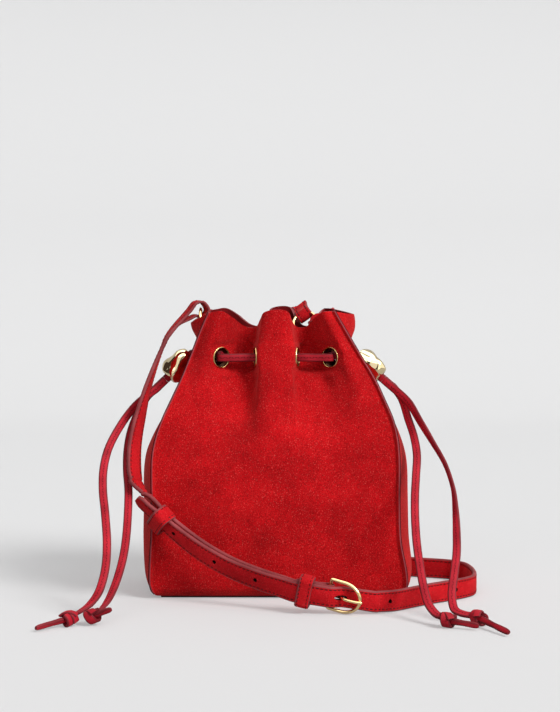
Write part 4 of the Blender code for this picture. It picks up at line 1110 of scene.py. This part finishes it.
def beads():
    """Cast nuggets with soft dents."""
    segments, steps = 72, 44
    for side, (centre, axis) in BEADS.items():
        across, up = axes_of(axis)
        points = []
        for i in range(segments):
            angle = 2 * math.pi * i / segments
            out = across * math.cos(angle) + up * math.sin(angle)
            for j in range(steps):
                share = -math.cos(math.pi * j / (steps - 1))
                radius = bead_radius(angle, share, side)
                points.append(tuple(centre + out * radius + axis * BEAD_HALF * share))
            points.append(tuple(centre + out * BEAD_BORE + axis * (BEAD_HALF - .1)))
            points.append(tuple(centre + out * BEAD_BORE - axis * (BEAD_HALF - .1)))
        name = "bead_" + side
        faces = loop_faces(segments, steps + 2)
        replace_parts(new_piece("gold_" + name, points, faces, [BEAD_GOLD], name, sharp=60), name)


def buckle_frame():
    """A D-shaped wire frame whose straight bar carries the strap's fold."""
    slope = (FRAME_END_LEVEL - BAR_LEVEL) / FRAME_LENGTH
    reach = FRAME_LENGTH - 10
    outline = [(x, -FRAME_HALF) for x in np.linspace(1.2, 9, 5)]
    outline += [(10 + reach * math.cos(a), FRAME_HALF * math.sin(a))
                for a in np.linspace(-math.pi / 2, math.pi / 2, 49)]
    outline += [(x, FRAME_HALF) for x in np.linspace(9, 1.2, 5)]
    outline += [(.3, FRAME_HALF - .35), (0, FRAME_HALF - 1.2)]
    outline += [(0, up) for up in np.linspace(FRAME_HALF - 2.4, -FRAME_HALF + 2.4, 9)]
    outline += [(0, -FRAME_HALF + 1.2), (.3, -FRAME_HALF + .35)]
    path = np.array([buckle_point(x + FRAME_TURN * up, FRAME_SHIFT + up - FRAME_TURN * x,
                                  BAR_LEVEL + slope * x) for x, up in outline], float)
    radius = [BAR_RADIUS if x < .2 else FRAME_WIRE for x, up in outline]
    along = unit(np.roll(path, -1, axis=0) - np.roll(path, 1, axis=0))
    side = unit(np.cross(along, np.array(BUCKLE_OUT)))
    sides = 16
    points = round_rings(path, along, side, radius, sides)
    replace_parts(new_piece("gold_buckle_frame", points, loop_faces(len(path), sides), [GOLD],
                          "buckle_frame", sharp=70), "buckle_frame")


def buckle_prong():
    """The prong: hooked round the bar, up through the strap's hole and over the frame's end."""
    hook = BAR_RADIUS + 1.1 + .25
    rows = [(hook * math.sin(a), BAR_LEVEL - hook * math.cos(a)) for a in np.linspace(-2.3, 1.9, 14)]
    rows += [(5.2, -.3), (8, .8), (10.5, 2.8), (13, 4.6), (18, 6.1), (FRAME_LENGTH + .4, 6.7),
             (FRAME_LENGTH + 1.3, 6.5)]
    path = smooth_rows([(x, 0, out) for x, out in rows], .8, .2)
    line = np.array([tuple(buckle_point(x, 0, out)) for x, _, out in path])
    taper = [1.05 * min(1, .62 + .4 * (len(path) - 1 - k) / 6) for k in range(len(path))]
    along = unit(np.gradient(line, axis=0))
    sides = 14
    points = round_rings(line, along, np.array(BUCKLE_ACROSS), taper, sides)
    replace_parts(new_piece("gold_buckle_prong", points, tube_faces(len(line), sides), [GOLD],
                          "buckle_prong", sharp=60), "buckle_prong")


# ---------------- strap and its fittings
def strap():
    """The strap's two parts, with their stitches, the slot at the bar and the punched holes."""
    rows = buckle_strap_rows()
    short = strip("strap_short", rows, 2.6, [STRAP_SUEDE, EDGE, PAINTED_HOLE_SHADE])
    cut(short, [drill(buckle_point(1.0, 0, BAR_LEVEL), BUCKLE_OUT, HOLE_RADIUS, 6, stretch=3.4)])
    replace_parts(short, "strap_buckle_part")
    stitches("stitches_strap_short", clear_of_bar(stitch_lines(rows, STITCH_INSET, .05)), THREAD)
    rows = punched_strap_rows()
    long = strip("strap_long", rows, 2.6, [STRAP_SUEDE, EDGE, PAINTED_HOLE_SHADE])
    place, _, _, face = ribbon_frames(smooth_rows(rows, 1, 9))
    travel = np.append(0, np.cumsum(np.linalg.norm(np.diff(place, axis=0), axis=1)))
    start = int(np.argmin(np.linalg.norm(place - np.array(buckle_point(9, 0, 1.4)), axis=1)))
    tools = []
    for run in PUNCHED_AT:
        at = int(np.argmin(abs(travel - travel[start] - run)))
        if run == 0:
            tools.append(drill(place[at], face[at], HOLE_RADIUS * 1.05, 4, stretch=2.4))
        else:
            # These holes stop short of the far face; their floors are painted shade.
            tools.append(drill(place[at] + face[at] * 3.2, face[at], HOLE_RADIUS * .8, 4))
    cut(long, tools)
    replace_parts(long, "strap_punched_part")
    stitches("stitches_strap_long", stitch_lines(rows, STITCH_INSET, .05), THREAD)


def rounded_loop(width, height, corner):
    """Places around a rounded rectangle, with outward directions."""
    spots = []
    for sx, sy, start in ((1, 1, 0), (-1, 1, 90), (-1, -1, 180), (1, -1, 270)):
        for a in np.radians(np.linspace(start, start + 90, 9)):
            out = np.array((math.cos(a), math.sin(a)))
            middle = np.array((sx * (width / 2 - corner), sy * (height / 2 - corner)))
            spots.append((middle + out * corner, out))
    return spots


def keeper(name, centre, along, across, out, inner, length, thick, corner, body):
    """A band of strap leather with painted edges and a row of stitches near each."""
    along, across, out, centre = (np.array(v, float) for v in (along, across, out, centre))
    section = [(-.5, .2), (-.5, .7), (-.46, .93), (-.38, 1.02), (-.2, 1.1), (0, 1.13), (.2, 1.1), (.38, 1.02),
               (.46, .93), (.5, .7), (.5, .2), (.44, 0), (0, 0), (-.44, 0)]
    edge = {0, 1, 2, 8, 9, 10, 13}
    spots = rounded_loop(inner[0], inner[1], corner)
    points = [centre + along * run * length + across * (spot + outward * rise * thick)[0]
              + out * (spot + outward * rise * thick)[1] for spot, outward in spots for run, rise in section]
    kinds = [1 if j in edge else 0 for _ in spots for j in range(len(section))]
    faces = loop_faces(len(spots), len(section))
    piece = new_piece("band_" + name, points, faces, [STRAP_SUEDE, EDGE], body, kinds, 60)
    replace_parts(piece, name)
    lines = []
    for run in (-.33, .33):
        loop = [(spot + outward * thick * 1.06, outward) for spot, outward in spots]
        loop.append(loop[0])
        place = np.array([centre + along * run * length + across * s[0] + out * s[1] for s, _ in loop])
        face = np.array([across * o[0] + out * o[1] for _, o in loop])
        width = np.ones((len(loop), 1)) * along
        lines.append((place, np.cross(width, face), width, face))
    stitches("stitches_" + name, lines, THREAD, body, length=1.9, step=2.9, radius=.34)


def keepers():
    along = (BUCKLE_ALONG - BUCKLE_ACROSS * KEEPER_TURN).normalized()
    across = (BUCKLE_ACROSS + BUCKLE_ALONG * KEEPER_TURN).normalized()
    keeper("keeper_fixed", buckle_point(-17.5, .4, 1.1), along, across, BUCKLE_OUT,
           inner=(18.6, 10.3), length=10.5, thick=2, corner=1.6, body="bag")
    path = smooth_rows([row[:6] for row in OVERLAP], 1, 9)
    place, along, across, face = ribbon_frames(path)
    at = int(np.argmin(np.linalg.norm(place - np.array(OVERLAP[2][:3]), axis=1)))
    centre = place[at] + along[at] * 1.6 - across[at] * .6 + face[at] * 1.2
    keeper("keeper_sliding", centre, along[at], across[at], face[at],
           inner=(19.2, 11.2), length=12.6, thick=1.7, corner=3.6, body="keeper_sliding")


def ring_tabs():
    for side, (across, route) in RING_TABS.items():
        rows = [(*place, *across, TAB_WIDTH, TAB_THICK) for place in route]
        piece = strip("tab_" + side, rows, 1.2, [STRAP_SUEDE, EDGE], groove=False)
        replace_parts(piece, "ring_tab_" + side)


def base_parts():
    """The base's edge, which shows under the walls painted near black as their contact shadow, and the colour
    of the board inside.
    """
    outline = [foot(wall_point(wall, at, 0)) for wall, at in wall_columns()]
    points = [(x * .985, y * .972, z) for z in (.2, BASE_THICK) for x, y, _ in outline]
    faces = tube_faces(2, len(outline))
    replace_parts(new_piece("base_painted_contact_shadow", points, faces, [SEAM_AND_BASE_PAINTED_SHADE]), "base_panel")
    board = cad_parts["base_board"].data.materials
    board.clear()
    board.append(BOARD)


# ---------------- stage and light
STAGE_GLOW = [(.474, .305), (.839, .256), (.948, .186), (.989, .224)]     # by place from front to back
FILL = .22
KEY = 3.0
FRONT = .65


def stage():
    """A pale sheet curved up behind the bag; part of its tone is added for the camera alone."""
    made, tree, shader = new_material("paper_grey", .9)
    shader.inputs["Base Color"].default_value = (.46, .46, .462, 1)
    shader.inputs["Specular IOR Level"].default_value = .05
    path = tree.nodes.new("ShaderNodeLightPath")
    glow = node(tree, "ShaderNodeMath", operation='MULTIPLY')
    level = ramp(tree, generated(tree)["Y"], [(at, (value,) * 3) for at, value in STAGE_GLOW])
    tree.links.new(level.outputs["Color"], glow.inputs[1])
    tree.links.new(path.outputs["Is Camera Ray"], glow.inputs[0])
    tree.links.new(glow.outputs[0], shader.inputs["Emission Strength"])
    shader.inputs["Emission Color"].default_value = (1, 1, 1.004, 1)
    profile = [(-2.5, 0), (1.2, 0)]
    profile += [(1.2 + .9 * math.sin(a), .9 - .9 * math.cos(a)) for a in np.linspace(.08, math.pi / 2, 20)]
    profile += [(2.1, 3.2)]
    points = [(x, y, z) for y, z in profile for x in (-3.5, 3.5)]
    mesh = bpy.data.meshes.new("backdrop")
    faces = [[2 * i, 2 * i + 1, 2 * i + 3, 2 * i + 2] for i in range(len(profile) - 1)]
    mesh.from_pydata(points, [], faces)
    mesh.materials.append(made)
    mesh.shade_smooth()
    add_object("backdrop", mesh)


def lamp(name, kind, toward, power):
    """A light that shines along a direction."""
    made = add_object(name, bpy.data.lights.new(name, kind))
    made.data.energy = power
    made.rotation_euler = Vector(toward).to_track_quat('-Z', 'Y').to_euler()
    return made


def studio():
    """Even soft fill, with bright panels above and to the right that show only in reflections."""
    world = bpy.data.worlds.new("studio")
    world.use_nodes = True
    tree = world.node_tree
    shader = tree.nodes["Background"]
    split = generated(tree)
    right = ramp(tree, split["X"],
                 [(.30, (.05, .035, .03)), (.42, (1.6, 1.6, 1.5)), (.80, (1.15, 1.15, 1.1))])
    above = ramp(tree, split["Z"], [(.50, (0, 0, 0)), (.62, (1.7, 1.7, 1.65))])
    panels = mix(tree, right.outputs["Color"], above.outputs["Color"], 1, 'ADD')
    path = tree.nodes.new("ShaderNodeLightPath")
    colour = mix(tree, (FILL, FILL, FILL, 1), panels, path.outputs["Is Glossy Ray"])
    tree.links.new(colour, shader.inputs["Color"])
    bpy.context.scene.world = world


def lights():
    """Two broad suns, each softened over an angle in degrees, and a square panel overhead."""
    lamp("key", 'SUN', (-1.0, .95, -1.05), KEY).data.angle = math.radians(24)
    lamp("front", 'SUN', (.35, 1.0, -.55), FRONT).data.angle = math.radians(60)
    place = Vector((.3, .4, 2.0))
    top = lamp("top", 'AREA', -place, 5)
    top.location = place
    top.data.shape = 'RECTANGLE'
    top.data.size = top.data.size_y = 1.6
    studio()
    bpy.context.scene.view_settings.view_transform = 'Standard'


camera()
cords()
held_laces()
walls()
seams()
eyelets()
rings()
beads()
buckle_frame()
buckle_prong()
strap()
keepers()
ring_tabs()
base_parts()
stage()
lights()
